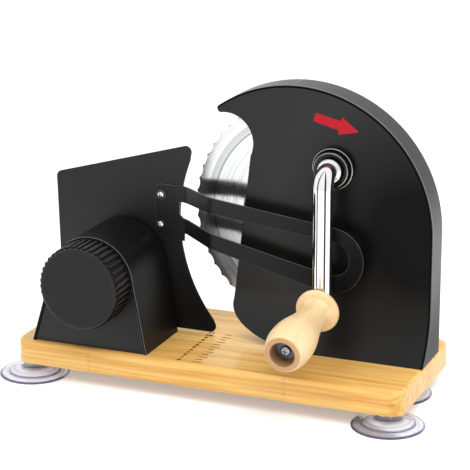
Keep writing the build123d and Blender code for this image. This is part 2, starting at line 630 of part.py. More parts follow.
def flare_profile(depth, far_y):
    """Y and Z section of everything between the face, set back by depth, and far_y.
    Upright above FLARE_START_Z, then an arc that runs forward to the board."""
    radius = FLARE_RADIUS + depth
    centre_y = HOUSING_FACE_Y - FLARE_RADIUS
    turn = degrees(asin((FLARE_START_Z - BOARD_TOP) / radius))
    top = HOUSING_Z + HOUSING_RADIUS + HOUSING_WALL
    foot = polar((centre_y, FLARE_START_Z), radius, -turn)
    middle = polar((centre_y, FLARE_START_Z), radius, -turn / 2)
    start = (centre_y + radius, FLARE_START_Z)
    edges = [
        ThreePointArc(foot, middle, start),
        Line(start, (centre_y + radius, top)),
        Line((centre_y + radius, top), (far_y, top)),
        Line((far_y, top), (far_y, BOARD_TOP)),
        Line((far_y, BOARD_TOP), foot),
    ]
    return make_face(edges)


def along_x(profile):
    """A Y and Z section carried from the shell's left edge to the housing's right side."""
    left = BITE_CENTRE[0] - BITE_RADIUS
    return Plane.YZ.offset(left) * extrude(profile, HOUSING_RIGHT - left)


def behind_face(depth):
    return along_x(flare_profile(depth, HOUSING_BACK_Y))


def housing_front():
    foot_y = HOUSING_FACE_Y - FLARE_RADIUS
    blank = plate(shell_outline(), foot_y, HOUSING_BACK_Y)
    shell = (blank & behind_face(0)) - behind_face(HOUSING_WALL)
    for x, y in FOOT_BOSSES[:2]:
        boss = post(x, y, FOOT_BOSS_RADIUS, BOARD_TOP, BOARD_TOP + FOOT_BOSS_HEIGHT)
        shell += boss & behind_face(HOUSING_WALL / 2) & blank
    for x, y in FOOT_BOSSES[:2]:
        shell -= post(x, y, WOOD_SCREW_RADIUS, BOARD_TOP, BOARD_TOP + WOOD_SCREW_BITE)
    shell -= disc(CRANK_X, CRANK_Z, CRANK_BUSH_RADIUS, HOUSING_FACE_Y, SHELL_BACK_Y)
    for x, z in plate_screw_places():
        shell -= disc(x, z, M3_RADIUS, SHELL_BACK_Y - HOUSING_WALL / 2, SHELL_BACK_Y)
    return shell


def band_sector(start, end):
    """Ring sector of the rim, from one angle to another, with its wall inward."""
    centre = (HOUSING_X, HOUSING_Z)
    inner = HOUSING_RADIUS - HOUSING_WALL
    middle = 0.5 * (start + end)
    a, b = polar(centre, HOUSING_RADIUS, start), polar(centre, HOUSING_RADIUS, end)
    c, d = polar(centre, inner, end), polar(centre, inner, start)
    return make_face([
        ThreePointArc(a, polar(centre, HOUSING_RADIUS, middle), b), Line(b, c),
        ThreePointArc(c, polar(centre, inner, middle), d), Line(d, a),
    ])


def rim_band_left():
    margin = degrees(HORN_ROUND * 2 / HOUSING_RADIUS)
    strip = plate(band_sector(SEAM_ANGLE, HORN_ANGLE - margin), SHELL_BACK_Y, HOUSING_BACK_Y)
    return strip


def rim_band_right():
    wall = Pos(HOUSING_RIGHT - HOUSING_WALL / 2, (BOARD_TOP + HOUSING_Z) / 2) * Rectangle(
        HOUSING_WALL, HOUSING_Z - BOARD_TOP)
    strip = band_sector(0, SEAM_ANGLE) + wall
    foot_y = HOUSING_FACE_Y - FLARE_RADIUS
    band = plate(strip, foot_y, HOUSING_BACK_Y) & behind_face(HOUSING_WALL)
    x, y = FOOT_BOSSES[2]
    boss = post(x, y, FOOT_BOSS_RADIUS, BOARD_TOP, BOARD_TOP + FOOT_BOSS_HEIGHT / 2)
    reach = HOUSING_RIGHT - x
    middle = Pos(x + reach / 2, y, BOARD_TOP + FOOT_BOSS_HEIGHT / 4)
    web = middle * Box(reach, HOUSING_WALL, FOOT_BOSS_HEIGHT / 2)
    band += boss + web
    return band - post(x, y, WOOD_SCREW_RADIUS, BOARD_TOP, BOARD_TOP + WOOD_SCREW_BITE)


# ---- bearings ----

def plate_screw_places():
    radius = PLATE_BLADE_RADIUS - PLATE_SCREW_INSET
    crank_radius = PLATE_CRANK_RADIUS - PLATE_SCREW_INSET
    low = [polar((BLADE_X, BLADE_Z), radius, angle) for angle in PLATE_SCREW_ANGLES]
    return low + [polar((CRANK_X, CRANK_Z), crank_radius, angle) for angle in PLATE_CRANK_SCREW_ANGLES]


def bearing_plate():
    """Pear-shaped steel plate that holds the blade's stud and the crank's bush at one distance."""
    edges = (Pos(BLADE_X, BLADE_Z) * Circle(PLATE_BLADE_RADIUS)).edges()
    edges += (Pos(CRANK_X, CRANK_Z) * Circle(PLATE_CRANK_RADIUS)).edges()
    outline = make_hull(edges)
    outline -= Pos(CRANK_X, CRANK_Z) * Circle(CRANK_BUSH_RADIUS)
    outline -= Pos(BLADE_X, BLADE_Z) * Circle(STUD_RADIUS)
    for x, z in plate_screw_places():
        outline -= Pos(x, z) * Circle(M3_RADIUS)
    return plate(outline, SHELL_BACK_Y, PLATE_BACK_Y)


def plate_screws():
    length = BEARING_PLATE_THICKNESS + HOUSING_WALL / 2
    return [pan_screw(x, z, PLATE_BACK_Y, length, -1) for x, z in plate_screw_places()]


def crank_bush():
    bore = CRANK_SHAFT_RADIUS + RUNNING_FIT
    sleeve = ring(CRANK_X, CRANK_Z, CRANK_BUSH_RADIUS, bore, NUT_RING_FRONT_Y, PLATE_BACK_Y)
    return sleeve + ring(CRANK_X, CRANK_Z, CRANK_BUSH_FLANGE_RADIUS, bore, PLATE_BACK_Y,
                         PLATE_BACK_Y + CRANK_BUSH_FLANGE)


def hub_ring(outer, y_front, y_back):
    """Round black ring on the bush, with its front edge bevelled."""
    body = ring(CRANK_X, CRANK_Z, outer, CRANK_BUSH_RADIUS, y_front, y_back)
    front = body.edges().group_by(Axis.Y)[0].sort_by(SortBy.RADIUS)[-1]
    return chamfer(front, HUB_EDGE_CHAMFER)


def blade_stud():
    """Fixed axle for the blade, with a low flange against the bearing plate."""
    body = disc(BLADE_X, BLADE_Z, STUD_RADIUS, SHELL_BACK_Y, CLAMP_BACK_Y + END_FLOAT)
    body += disc(BLADE_X, BLADE_Z, STUD_FLANGE_RADIUS, PLATE_BACK_Y, PLATE_BACK_Y + STUD_FLANGE_THICKNESS)
    hole_front = CLAMP_BACK_Y + END_FLOAT - AXLE_SCREW_LENGTH
    return body - disc(BLADE_X, BLADE_Z, AXLE_SCREW_RADIUS, hole_front, CLAMP_BACK_Y + END_FLOAT)


def axle_washer():
    front = CLAMP_BACK_Y + END_FLOAT
    return ring(BLADE_X, BLADE_Z, AXLE_WASHER_RADIUS, AXLE_SCREW_RADIUS, front, front + WASHER_THICKNESS)


def axle_screw():
    seat = CLAMP_BACK_Y + END_FLOAT + WASHER_THICKNESS
    length = AXLE_SCREW_LENGTH - END_FLOAT
    head = disc(BLADE_X, BLADE_Z, AXLE_SCREW_HEAD_RADIUS, seat, seat + M3_HEAD_HEIGHT)
    return head + disc(BLADE_X, BLADE_Z, AXLE_SCREW_RADIUS, seat - length, seat)


# ---- gears and blade ----

def involute(angle):
    return tan(angle) - angle


def gear_outline(x, z, teeth, tooth_at):
    """Spur gear outline; one tooth stands at the angle tooth_at, in degrees."""
    pitch_radius = GEAR_MODULE * teeth / 2
    base = pitch_radius * cos(radians(PRESSURE_ANGLE))
    tip = pitch_radius + GEAR_MODULE
    root = pitch_radius - 1.25 * GEAR_MODULE
    half_tooth = (pi * GEAR_MODULE / 2 - GEAR_BACKLASH) / (2 * pitch_radius)
    at_pitch = involute(radians(PRESSURE_ANGLE))
    start = max(base, root + GEAR_MODULE / 10)
    flank = [start + (tip - start) * step / 3 for step in range(4)]
    half_angles = [half_tooth + at_pitch - involute(acos(min(1.0, base / radius))) for radius in flank]
    points = []
    for tooth in range(teeth):
        middle = radians(tooth_at) + 2 * pi * tooth / teeth
        rising = [(radius, middle - half) for radius, half in zip(flank, half_angles)]
        falling = [(radius, middle + half) for radius, half in zip(flank, half_angles)]
        corners = [(root, rising[0][1])] + rising + falling[::-1] + [(root, falling[0][1])]
        points += [(x + r * cos(a), z + r * sin(a)) for r, a in corners]
    return make_face(Polyline(*points, close=True))


def blade_gear():
    """Steel gear with a hub that carries the blade on a spigot."""
    gear = plate(gear_outline(BLADE_X, BLADE_Z, BLADE_TEETH, CRANK_DIRECTION), GEAR_FRONT_Y, GEAR_BACK_Y)
    body = gear + disc(BLADE_X, BLADE_Z, BLADE_HUB_RADIUS, GEAR_BACK_Y, BLADE_FRONT_Y)
    body += disc(BLADE_X, BLADE_Z, BLADE_SPIGOT_RADIUS, BLADE_FRONT_Y, CLAMP_BACK_Y)
    for x, z in around(BLADE_X, BLADE_Z, BLADE_SCREW_CIRCLE, BLADE_SCREWS):
        body -= disc(x, z, M3_RADIUS, GEAR_BACK_Y, BLADE_FRONT_Y)
    return body - disc(BLADE_X, BLADE_Z, STUD_RADIUS + RUNNING_FIT, GEAR_FRONT_Y, CLAMP_BACK_Y)


def crank_pinion():
    half_pitch = 180.0 / CRANK_TEETH
    outline = gear_outline(CRANK_X, CRANK_Z, CRANK_TEETH, CRANK_DIRECTION + 180.0 + half_pitch)
    return plate(outline - Pos(CRANK_X, CRANK_Z) * Circle(CRANK_SHAFT_RADIUS), GEAR_FRONT_Y, GEAR_BACK_Y)


def scalloped_outline():
    """The blade's edge: hollow-ground scallops that meet in sharp points."""
    edges = []
    pitch = 360.0 / BLADE_SCALLOPS
    for k in range(BLADE_SCALLOPS):
        tip = polar((BLADE_X, BLADE_Z), BLADE_RADIUS, k * pitch)
        valley = polar((BLADE_X, BLADE_Z), BLADE_RADIUS - BLADE_SCALLOP_DEPTH, (k + 0.5) * pitch)
        next_tip = polar((BLADE_X, BLADE_Z), BLADE_RADIUS, (k + 1) * pitch)
        edges.append(ThreePointArc(tip, valley, next_tip))
    return make_face(edges)


def blade():
    """Round blade, ground to a thin edge on the side away from the loaf."""
    ground = BLADE_BACK_Y - BLADE_EDGE_THICKNESS
    rim = BLADE_RADIUS + BLADE_SCALLOP_DEPTH
    slope = (ground - BLADE_FRONT_Y) / (BLADE_RADIUS - BLADE_BEVEL_RADIUS)
    rim_front = BLADE_FRONT_Y + slope * (rim - BLADE_BEVEL_RADIUS)
    profile = Polyline((0, BLADE_FRONT_Y), (BLADE_BEVEL_RADIUS, BLADE_FRONT_Y), (rim, rim_front),
                       (rim, BLADE_BACK_Y), (0, BLADE_BACK_Y), close=True)
    outline = scalloped_outline() - Pos(BLADE_X, BLADE_Z) * Circle(BLADE_SPIGOT_RADIUS)
    for x, z in around(BLADE_X, BLADE_Z, BLADE_SCREW_CIRCLE, BLADE_SCREWS):
        outline -= Pos(x, z) * Circle(M3_RADIUS)
    return plate(outline, BLADE_FRONT_Y, BLADE_BACK_Y) & spun(profile, BLADE_X, BLADE_Z)


def blade_clamp_ring():
    outline = Pos(BLADE_X, BLADE_Z) * (Circle(BLADE_HUB_RADIUS) - Circle(BLADE_SPIGOT_RADIUS))
    for x, z in around(BLADE_X, BLADE_Z, BLADE_SCREW_CIRCLE, BLADE_SCREWS):
        outline -= Pos(x, z) * Circle(M3_RADIUS)
    return plate(outline, BLADE_BACK_Y, CLAMP_BACK_Y)


def blade_screws():
    length = CLAMP_BACK_Y - GEAR_BACK_Y
    places = around(BLADE_X, BLADE_Z, BLADE_SCREW_CIRCLE, BLADE_SCREWS)
    return [pan_screw(x, z, CLAMP_BACK_Y, length, -1) for x, z in places]


# ---- crank ----

def crank_rod():
    """Round rod: the shaft through the hub, one bend, and the arm down to the grip."""
    shaft_end = BLADE_FRONT_Y - SHAFT_END_GAP
    arm_end = GRIP_Z - ROD_BELOW_GRIP
    path = FilletPolyline((CRANK_X, COLLAR_FRONT_Y, CRANK_Z), (CRANK_X, ROD_Y, CRANK_Z),
                          (CRANK_X, ROD_Y, arm_end), radius=ROD_BEND_RADIUS)
    section = Plane(origin=path @ 0, z_dir=path % 0) * Circle(ROD_RADIUS)
    rod = sweep(section, path=path)
    low_end = rod.faces().sort_by(Axis.Z)[0].edges()
    rod = fillet(low_end, ROD_END_ROUND)
    rod += disc(CRANK_X, CRANK_Z, CRANK_SHAFT_RADIUS, COLLAR_FRONT_Y, shaft_end)
    rod -= grip_axis_bar(GRIP_WASHER_RADIUS + END_FLOAT, GRIP_SEAT, 2 * ROD_RADIUS)
    return rod - grip_axis_bar(GRIP_SCREW_RADIUS, GRIP_SEAT - GRIP_SCREW_BITE, GRIP_SEAT)


def crank_collar():
    back = COLLAR_FRONT_Y + COLLAR_LENGTH
    body = ring(CRANK_X, CRANK_Z, COLLAR_RADIUS, CRANK_SHAFT_RADIUS, COLLAR_FRONT_Y, back)
    front = body.edges().group_by(Axis.Y)[0].sort_by(SortBy.RADIUS)[-1]
    return chamfer(front, HUB_EDGE_CHAMFER)


def pinion_clip():
    return ring(CRANK_X, CRANK_Z, CLIP_RADIUS, CRANK_SHAFT_RADIUS, GEAR_BACK_Y, GEAR_BACK_Y + CLIP_THICKNESS)


# ---- grip: made along its own axis, then laid on the arm ----

def on_arm(shape):
    """Turns a body made along +Y from the arm's centre so that it points out and down."""
    return Pos(CRANK_X, ROD_Y, GRIP_Z) * Rot(GRIP_DROOP, 0, 0) * Rot(0, 0, 180) * shape


def grip_axis_bar(radius, start, end):
    return on_arm(disc(0, 0, radius, start, end))


def wooden_grip():
    """Turned grip: a round flange, a slim neck and a full belly, hollowed at the end."""
    flange_edge = GRIP_START + GRIP_FLANGE_THICKNESS
    recess_floor = GRIP_END - GRIP_RECESS_DEPTH
    belly = Spline(
        (GRIP_NECK_RADIUS + GRIP_COVE, flange_edge),
        (GRIP_NECK_RADIUS, GRIP_START + GRIP_NECK_AT),
        (GRIP_BELLY_RADIUS, GRIP_START + GRIP_BELLY_AT),
        (GRIP_END_RADIUS + GRIP_EDGE_ROUND, GRIP_END - GRIP_EDGE_ROUND),
    )
    rim = GRIP_FLANGE_RADIUS - GRIP_EDGE_ROUND / 2
    edges = [
        Line((GRIP_BORE_RADIUS, GRIP_START), (rim, GRIP_START)),
        ThreePointArc((rim, GRIP_START), (GRIP_FLANGE_RADIUS, (GRIP_START + flange_edge) / 2),
                      (rim, flange_edge)),
        Line((rim, flange_edge), belly @ 0),
        belly,
        ThreePointArc(belly @ 1, (GRIP_END_RADIUS + GRIP_EDGE_ROUND * sin(radians(45)),
                                  GRIP_END - GRIP_EDGE_ROUND * (1 - cos(radians(45)))),
                      (GRIP_END_RADIUS, GRIP_END)),
        Line((GRIP_END_RADIUS, GRIP_END), (GRIP_RECESS_RADIUS, GRIP_END)),
        Line((GRIP_RECESS_RADIUS, GRIP_END), (GRIP_RECESS_RADIUS, recess_floor)),
        Line((GRIP_RECESS_RADIUS, recess_floor), (GRIP_BORE_RADIUS, recess_floor)),
        Line((GRIP_BORE_RADIUS, recess_floor), (GRIP_BORE_RADIUS, GRIP_START)),
    ]
    return on_arm(spun(edges, 0, 0))


def grip_washer():
    return on_arm(ring(0, 0, GRIP_WASHER_RADIUS, GRIP_SCREW_RADIUS, GRIP_SEAT, GRIP_SEAT + WASHER_THICKNESS))


def grip_cup_washer():
    floor = GRIP_END - GRIP_RECESS_DEPTH + END_FLOAT
    return on_arm(ring(0, 0, GRIP_CUP_WASHER_RADIUS, GRIP_SCREW_RADIUS, floor, floor + WASHER_THICKNESS))


def grip_screw():
    seat = GRIP_END - GRIP_RECESS_DEPTH + END_FLOAT + WASHER_THICKNESS
    head = grip_axis_bar(GRIP_SCREW_HEAD_RADIUS, seat, seat + GRIP_SCREW_HEAD_HEIGHT)
    return head + grip_axis_bar(GRIP_SCREW_RADIUS, GRIP_SEAT - GRIP_SCREW_BITE, seat)


def save(name, shape):
    """Writes one piece, or one group of alike pieces, about the part's origin."""
    group = shape if isinstance(shape, list) else [shape]
    solids = [solid for piece in group for solid in piece.solids()]
    moved = [Pos(-ORIGIN_X, -ORIGIN_Y, 0) * solid for solid in solids]
    export_step(moved[0] if len(moved) == 1 else Compound(children=moved), f"parts/{name}.step")


os.makedirs("parts", exist_ok=True)

save("base_board", base_board())
for corner, (cup_x, cup_y) in CUPS.items():
    save("suction_cup_" + corner, suction_cup(cup_x, cup_y))
save("cup_screws", cup_screws())

save("knob_housing", knob_housing())
save("knob_front_panel", knob_front_panel())
save("knob_rear_panel", knob_rear_panel())
save("spindle_bush", spindle_bush())
save("guide_bushes", guide_bushes())
save("knob_housing_screws", foot_screws(KNOB_HOUSING_BOSSES))

save("thickness_knob", thickness_knob())
save("spindle", spindle())
save("spindle_clip", spindle_clip())

save("fence_plate", fence_plate())
save("fence_nut", fence_nut())
save("nut_rivets", nut_rivets())
save("guide_rods", guide_rods())
save("fork_guard", fork_guard())
save("fork_washers", fork_washers())
save("fork_screws", fork_screws())

save("housing_front", housing_front())
save("rim_band_left", rim_band_left())
save("rim_band_right", rim_band_right())
save("housing_screws", foot_screws(FOOT_BOSSES))
save("bearing_plate", bearing_plate())
save("plate_screws", plate_screws())
save("crank_bush", crank_bush())
save("hub_bezel", hub_ring(HUB_BEZEL_RADIUS, BEZEL_FRONT_Y, HOUSING_FACE_Y))
save("hub_nut", hub_ring(HUB_NUT_RADIUS, NUT_RING_FRONT_Y, BEZEL_FRONT_Y))
save("blade_stud", blade_stud())
save("axle_washer", axle_washer())
save("axle_screw", axle_screw())

save("blade_gear", blade_gear())
save("blade", blade())
save("blade_clamp_ring", blade_clamp_ring())
save("blade_screws", blade_screws())

save("crank_rod", crank_rod())
save("crank_collar", crank_collar())
save("crank_pinion", crank_pinion())
save("pinion_clip", pinion_clip())
save("grip_washer", grip_washer())
save("grip_cup_washer", grip_cup_washer())
save("grip_screw", grip_screw())
save("wooden_grip", wooden_grip())
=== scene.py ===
import json
from math import asin, pi, radians, sin

import bmesh
import bpy
from mathutils import Matrix, Vector

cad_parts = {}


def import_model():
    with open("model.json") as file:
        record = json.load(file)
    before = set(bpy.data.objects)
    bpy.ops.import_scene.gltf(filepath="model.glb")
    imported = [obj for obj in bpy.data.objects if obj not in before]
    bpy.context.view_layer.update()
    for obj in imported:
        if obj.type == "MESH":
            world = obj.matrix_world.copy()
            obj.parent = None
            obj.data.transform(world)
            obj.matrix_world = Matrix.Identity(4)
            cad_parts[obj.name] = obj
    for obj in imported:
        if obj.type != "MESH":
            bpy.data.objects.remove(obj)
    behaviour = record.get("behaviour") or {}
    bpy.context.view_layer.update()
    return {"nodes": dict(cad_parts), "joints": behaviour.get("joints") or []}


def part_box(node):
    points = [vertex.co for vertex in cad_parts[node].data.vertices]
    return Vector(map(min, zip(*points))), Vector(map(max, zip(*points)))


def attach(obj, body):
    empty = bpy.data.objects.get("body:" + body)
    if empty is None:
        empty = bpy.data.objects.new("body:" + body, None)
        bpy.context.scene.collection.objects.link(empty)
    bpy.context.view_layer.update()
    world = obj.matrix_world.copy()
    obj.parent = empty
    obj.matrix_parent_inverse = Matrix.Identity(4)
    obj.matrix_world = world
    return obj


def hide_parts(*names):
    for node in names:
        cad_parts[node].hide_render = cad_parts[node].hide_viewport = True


# Looks of the bread slicer with a hand crank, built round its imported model. Sizes below are
# millimetres, measured from the board's front left corner at table height: X to the right,
# Y to the back, Z up. `at` turns them into the model's metres.

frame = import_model()

MM = 0.001
WELD = 2e-6
board_low, board_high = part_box("base_board")


def at(x, y, z):
    return Vector((board_low.x + x * MM, board_low.y + y * MM, z * MM))


def middle(node):
    low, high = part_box(node)
    return (low + high) / 2


def y_of(node):
    """Front and back of a node, in millimetres."""
    low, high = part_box(node)
    return (low.y - board_low.y) / MM, (high.y - board_low.y) / MM


def put(made):
    """Adds an object to the scene."""
    bpy.context.scene.collection.objects.link(made)
    return made


# ---- sizes that the finishes share with the shapes ----

GRIP_JOINT = next(j for j in frame["joints"] if j["name"] == "grip_spin")
GRIP_AXIS = Vector(GRIP_JOINT["axis"]).normalized()
GRIP_FOOT = Vector(GRIP_JOINT["pos_m"])
GRIP_DROOP = asin(-GRIP_AXIS.z)
GRIP_START = 6.9
GRIP_END = 88.9
GRIP_BORE = 3.28
END_EDGE = 15.2
RECESS_RADIUS = 9.8
RECESS_DEPTH = 9.0

CRANK = middle("hub_bezel")
KNOB = middle("thickness_knob")
BLADE = middle("blade")

KNOB_FLUTES = 42
FLUTE_DEPTH = 1.6
KNOB_FRONT, KNOB_BACK = y_of("thickness_knob")
KNOB_REACH = (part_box("thickness_knob")[1].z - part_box("thickness_knob")[0].z) / 2 / MM
KNOB_FACE = KNOB_REACH - FLUTE_DEPTH

BLADE_STEP = 78.3
BLADE_BEVEL = 84.4
BLADE_RIM = 95.0

# The shell's arch is centred this much left of the blade, so its radius is that much larger.
HOUSING_OFFSET = 1.8
shell_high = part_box("housing_front")[1]
ARCH_RADIUS = shell_high.x - BLADE.x + HOUSING_OFFSET * MM
ARCH_CENTRE = (shell_high.x - ARCH_RADIUS, shell_high.z - ARCH_RADIUS)
BAND_FRONT = min(v.co.y for v in frame["nodes"]["rim_band_right"].data.vertices if v.co.z > BLADE.z)


# ---- materials ----

class Wire:
    """A socket's value; sums and products of it add their Math nodes."""

    def __init__(self, finish, socket):
        self.finish = finish
        self.socket = socket

    def maths(self, operation, *values):
        return self.finish.node("Math", {"operation": operation}, *values)

    def __add__(self, other):
        return self.maths("ADD", self, other)

    def __sub__(self, other):
        return self.maths("SUBTRACT", self, other)

    def __rsub__(self, other):
        return self.maths("SUBTRACT", other, self)

    def __mul__(self, other):
        return self.maths("MULTIPLY", self, other)

    def __truediv__(self, other):
        return self.maths("DIVIDE", self, other)

    def __abs__(self):
        return self.maths("ABSOLUTE", self)

    __radd__ = __add__
    __rmul__ = __mul__

    def spread(self, low, high, out_low=0.0, out_high=1.0):
        """Low to high becomes out_low to out_high, held at both ends."""
        return self.finish.node("MapRange", {"clamp": True}, self, low, high, out_low, out_high)


def off_axis(across, up):
    """Distance from an axis, from the two coordinates square to it."""
    squares = across * across + up * up
    return squares.maths("SQRT", squares)


def shade(tone, factor):
    return tuple(c * factor for c in tone)


class Finish:
    """A material while its nodes are laid out."""

    def __init__(self, name, tree=None):
        if tree is None:
            self.material = bpy.data.materials.new(name)
            self.material.use_nodes = True
            tree = self.material.node_tree
        self.tree = tree
        self.tree.nodes.clear()

    def node(self, kind, settings=None, *inputs, named=None, out=0):
        made = self.tree.nodes.new("ShaderNode" + kind)
        for key, value in (settings or {}).items():
            if key == "stops":
                ramp = made.color_ramp
                while len(ramp.elements) < len(value):
                    ramp.elements.new(0.5)
                for element, (place, colour) in zip(ramp.elements, value):
                    element.position = place
                    element.color = (*colour, 1.0)
            else:
                setattr(made, key, value)
        for key, value in list(enumerate(inputs)) + list((named or {}).items()):
            if isinstance(value, Wire):
                self.tree.links.new(value.socket, made.inputs[key])
            elif value is not None:
                made.inputs[key].default_value = value
        return Wire(self, made.outputs[out]) if len(made.outputs) else None

    def stretch(self, where, *scale):
        return self.node("Mapping", {"vector_type": "POINT"}, where, named={"Scale": scale})

    def place(self, centre=(0, 0, 0), turn=(0, 0, 0), scale=(1, 1, 1)):
        """Object coordinates, moved to centre, turned and stretched."""
        spot = self.node("TexCoord", out="Object")
        shifted = self.node("VectorMath", {"operation": "SUBTRACT"}, spot, tuple(centre))
        laid = self.node("Mapping", {"vector_type": "POINT"}, shifted, named={"Rotation": turn})
        return self.stretch(laid, *scale)

    def noise(self, where, scale, detail=3.0, roughness=0.5):
        return self.node("TexNoise", None, where, out="Fac",
                         named={"Scale": scale, "Detail": detail, "Roughness": roughness})

    def apart(self, where):
        """X, Y and Z of a place as three values."""
        first = self.node("SeparateXYZ", None, where)
        return [Wire(self, output) for output in first.socket.node.outputs]

    def rays(self):
        """1 for camera rays, for glossy rays and for transmission rays, as three values."""
        first = self.node("LightPath", out="Is Camera Ray")
        outputs = first.socket.node.outputs
        return first, Wire(self, outputs["Is Glossy Ray"]), Wire(self, outputs["Is Transmission Ray"])

    def ramp(self, value, *stops):
        return self.node("ValToRGB", {"stops": stops}, value, out="Color")

    def blend(self, share, first, second):
        """Colour that goes from first to second as share goes from 0 to 1."""
        mix = self.tree.nodes.new("ShaderNodeMix")
        mix.data_type = "RGBA"
        sockets = mix.inputs[0], mix.inputs[6], mix.inputs[7]
        for socket, value in zip(sockets, (share, first, second)):
            if isinstance(value, Wire):
                self.tree.links.new(value.socket, socket)
            else:
                socket.default_value = (*value, 1.0)
        return Wire(self, mix.outputs[2])

    def bump(self, height, strength, distance):
        return self.node("Bump", None, out="Normal",
                         named={"Height": height, "Strength": strength, "Distance": distance})

    def shader(self, **values):
        """The surface itself; underscores in the names stand for spaces."""
        made = self.tree.nodes.new("ShaderNodeBsdfPrincipled")
        for key, value in values.items():
            socket = made.inputs[key.replace("_", " ")]
            if isinstance(value, Wire):
                self.tree.links.new(value.socket, socket)
            else:
                socket.default_value = value
        end = self.tree.nodes.new("ShaderNodeOutputMaterial")
        self.tree.links.new(made.outputs[0], end.inputs[0])
        return self.material


STRIP_WIDTH = 19.5
KNUCKLE_PITCH = 172.0


def bamboo():
    """Glued bamboo strips along X under clear lacquer, with fibres and a few knuckles."""
    f = Finish("bamboo")
    x, y, z = f.apart(f.place())
    strips = y / (STRIP_WIDTH * MM)
    strip = strips.maths("FLOOR", strips)
    tone = f.node("TexWhiteNoise", {"noise_dimensions": "1D"}, named={"W": strip}, out="Value")
    shifted = f.node("CombineXYZ", None, x + tone * 0.7, y, z)
    lengthwise = f.stretch(shifted, 9.0, 420.0, 420.0)
    fibres = f.noise(lengthwise, 1.0, 4.0, 0.62)
    broad = f.noise(f.stretch(shifted, 5.0, 60.0, 60.0), 1.0)
    streaks = f.noise(f.stretch(shifted, 5.5, 190.0, 190.0), 1.0, 3.0, 0.6)
    lengths = (x + tone * 0.37) / (KNUCKLE_PITCH * MM)
    knuckle = 1 - abs(lengths.maths("FRACT", lengths) - 0.5).spread(0.0, 0.012)
    knuckle = knuckle * f.noise(lengthwise, 1.7, 2.0).spread(0.35, 0.6)
    glue = abs(strips.maths("FRACT", strips) - 0.5).spread(0.485, 0.499)
    depth = (fibres.spread(0.28, 0.74) * 0.32 + streaks.spread(0.34, 0.66) * 0.42
             + broad.spread(0.3, 0.7) * 0.14 + tone * 0.12)
    wood = f.ramp(depth, (0.0, (0.50, 0.20, 0.038)), (0.28, (0.76, 0.39, 0.088)),
                  (0.6, (0.90, 0.56, 0.170)), (1.0, (0.96, 0.70, 0.29)))
    wood = f.blend(knuckle * 0.4, wood, (0.50, 0.25, 0.07))
    wood = f.blend(glue * 0.16, wood, (0.45, 0.22, 0.07))
    return f.shader(Base_Color=wood, Roughness=fibres.spread(0.2, 0.8, 0.30, 0.40), Specular_IOR_Level=0.3,
                    Coat_Weight=0.26, Coat_Roughness=0.10, Normal=f.bump(fibres, 0.12, 0.0004))


def turned_wood(centre, droop):
    """Pale turned beech: grain along the grip, short dark flecks, a satin oil, dark end
    grain round the recess, and painted shade on the recess's wall and floor."""
    f = Finish("grip_wood")
    lying = f.place(centre, (-droop, 0, 0))
    grain = f.noise(f.stretch(lying, 120.0, 7.0, 120.0), 1.0, 4.0, 0.6)
    fleck = f.noise(f.stretch(lying, 900.0, 90.0, 900.0), 1.0, 2.0)
    broad = f.noise(f.stretch(lying, 30.0, 4.0, 30.0), 1.0, 2.0)
    wood = f.ramp(grain.spread(0.25, 0.75) * 0.6 + broad.spread(0.3, 0.7) * 0.4,
                  (0.0, (0.76, 0.47, 0.22)), (0.45, (0.88, 0.63, 0.34)), (1.0, (0.95, 0.74, 0.46)))
    wood = f.blend(fleck.spread(0.62, 0.74) * 0.3, wood, (0.58, 0.33, 0.14))
    x, y, z = f.apart(lying)
    along = 0 - y
    off = off_axis(x, z)
    end = along.spread((GRIP_END - 0.9) * MM, (GRIP_END - 0.1) * MM)
    end = end * off.spread(END_EDGE * MM, (END_EDGE - 1.0) * MM)
    floor_y = GRIP_END - RECESS_DEPTH
    # Painted shade: the recess's wall and floor are coloured dark brown, where shade falls inside it.
    bored = off.spread((RECESS_RADIUS + 1.0) * MM, (RECESS_RADIUS + 0.2) * MM)
    bored = bored * along.spread((floor_y - 7) * MM, (floor_y - 3) * MM)
    wood = f.blend(end * 0.85, wood, (0.52, 0.26, 0.10))
    # Painted shade inside the recess.
    wood = f.blend(bored * 0.85, wood, (0.24, 0.10, 0.033))
    return f.shader(Base_Color=wood, Roughness=grain.spread(0.2, 0.8, 0.36, 0.48), Coat_Weight=0.12,
                    Coat_Roughness=0.25, Normal=f.bump(grain + fleck * 0.4, 0.10, 0.0004))


def clear_cup(centre, steps):
    """Clear soft vinyl: greyish through its thickness, violet at the lip and the moulded steps.
    Each step has a radius, a width and how strongly it shows."""
    f = Finish("clear_cup")
    where = f.place(centre)
    haze = f.noise(where, 60.0)
    x, y, _ = f.apart(where)
    off = off_axis(x, y)
    tint = f.blend(off.spread(9.0 * MM, 27.0 * MM), (0.96, 0.96, 0.98), (0.90, 0.90, 0.94))
    for radius, width, share in steps:
        beside = abs(off - radius * MM).spread(0.4 * width * MM, width * MM)
        tint = f.blend((1 - beside) * share, tint, (0.13, 0.115, 0.30))
    edge = f.node("LayerWeight", None, 0.35, out="Facing")
    tint = f.blend(edge.spread(0.35, 1.0) * 0.6, tint, (0.42, 0.40, 0.66))
    return f.shader(Base_Color=tint, Roughness=haze.spread(0.3, 0.7, 0.06, 0.12), IOR=1.42,
                    Transmission_Weight=0.72, Normal=f.bump(f.noise(where, 220.0, 2.0), 0.05, 0.0003))


# Near black, painted as the shade of the gap between the shell's face and its band.
SEAM_SHADE_COLOUR = (0.0005, 0.0005, 0.0005)
# Light grey of the painted highlight along the band's front edge, fading in from LIP_LOW to LIP_HIGH in
# height.
LIP_HIGHLIGHT = (0.34, 0.34, 0.345)
LIP_LOW = 90.0
LIP_HIGH = 150.0


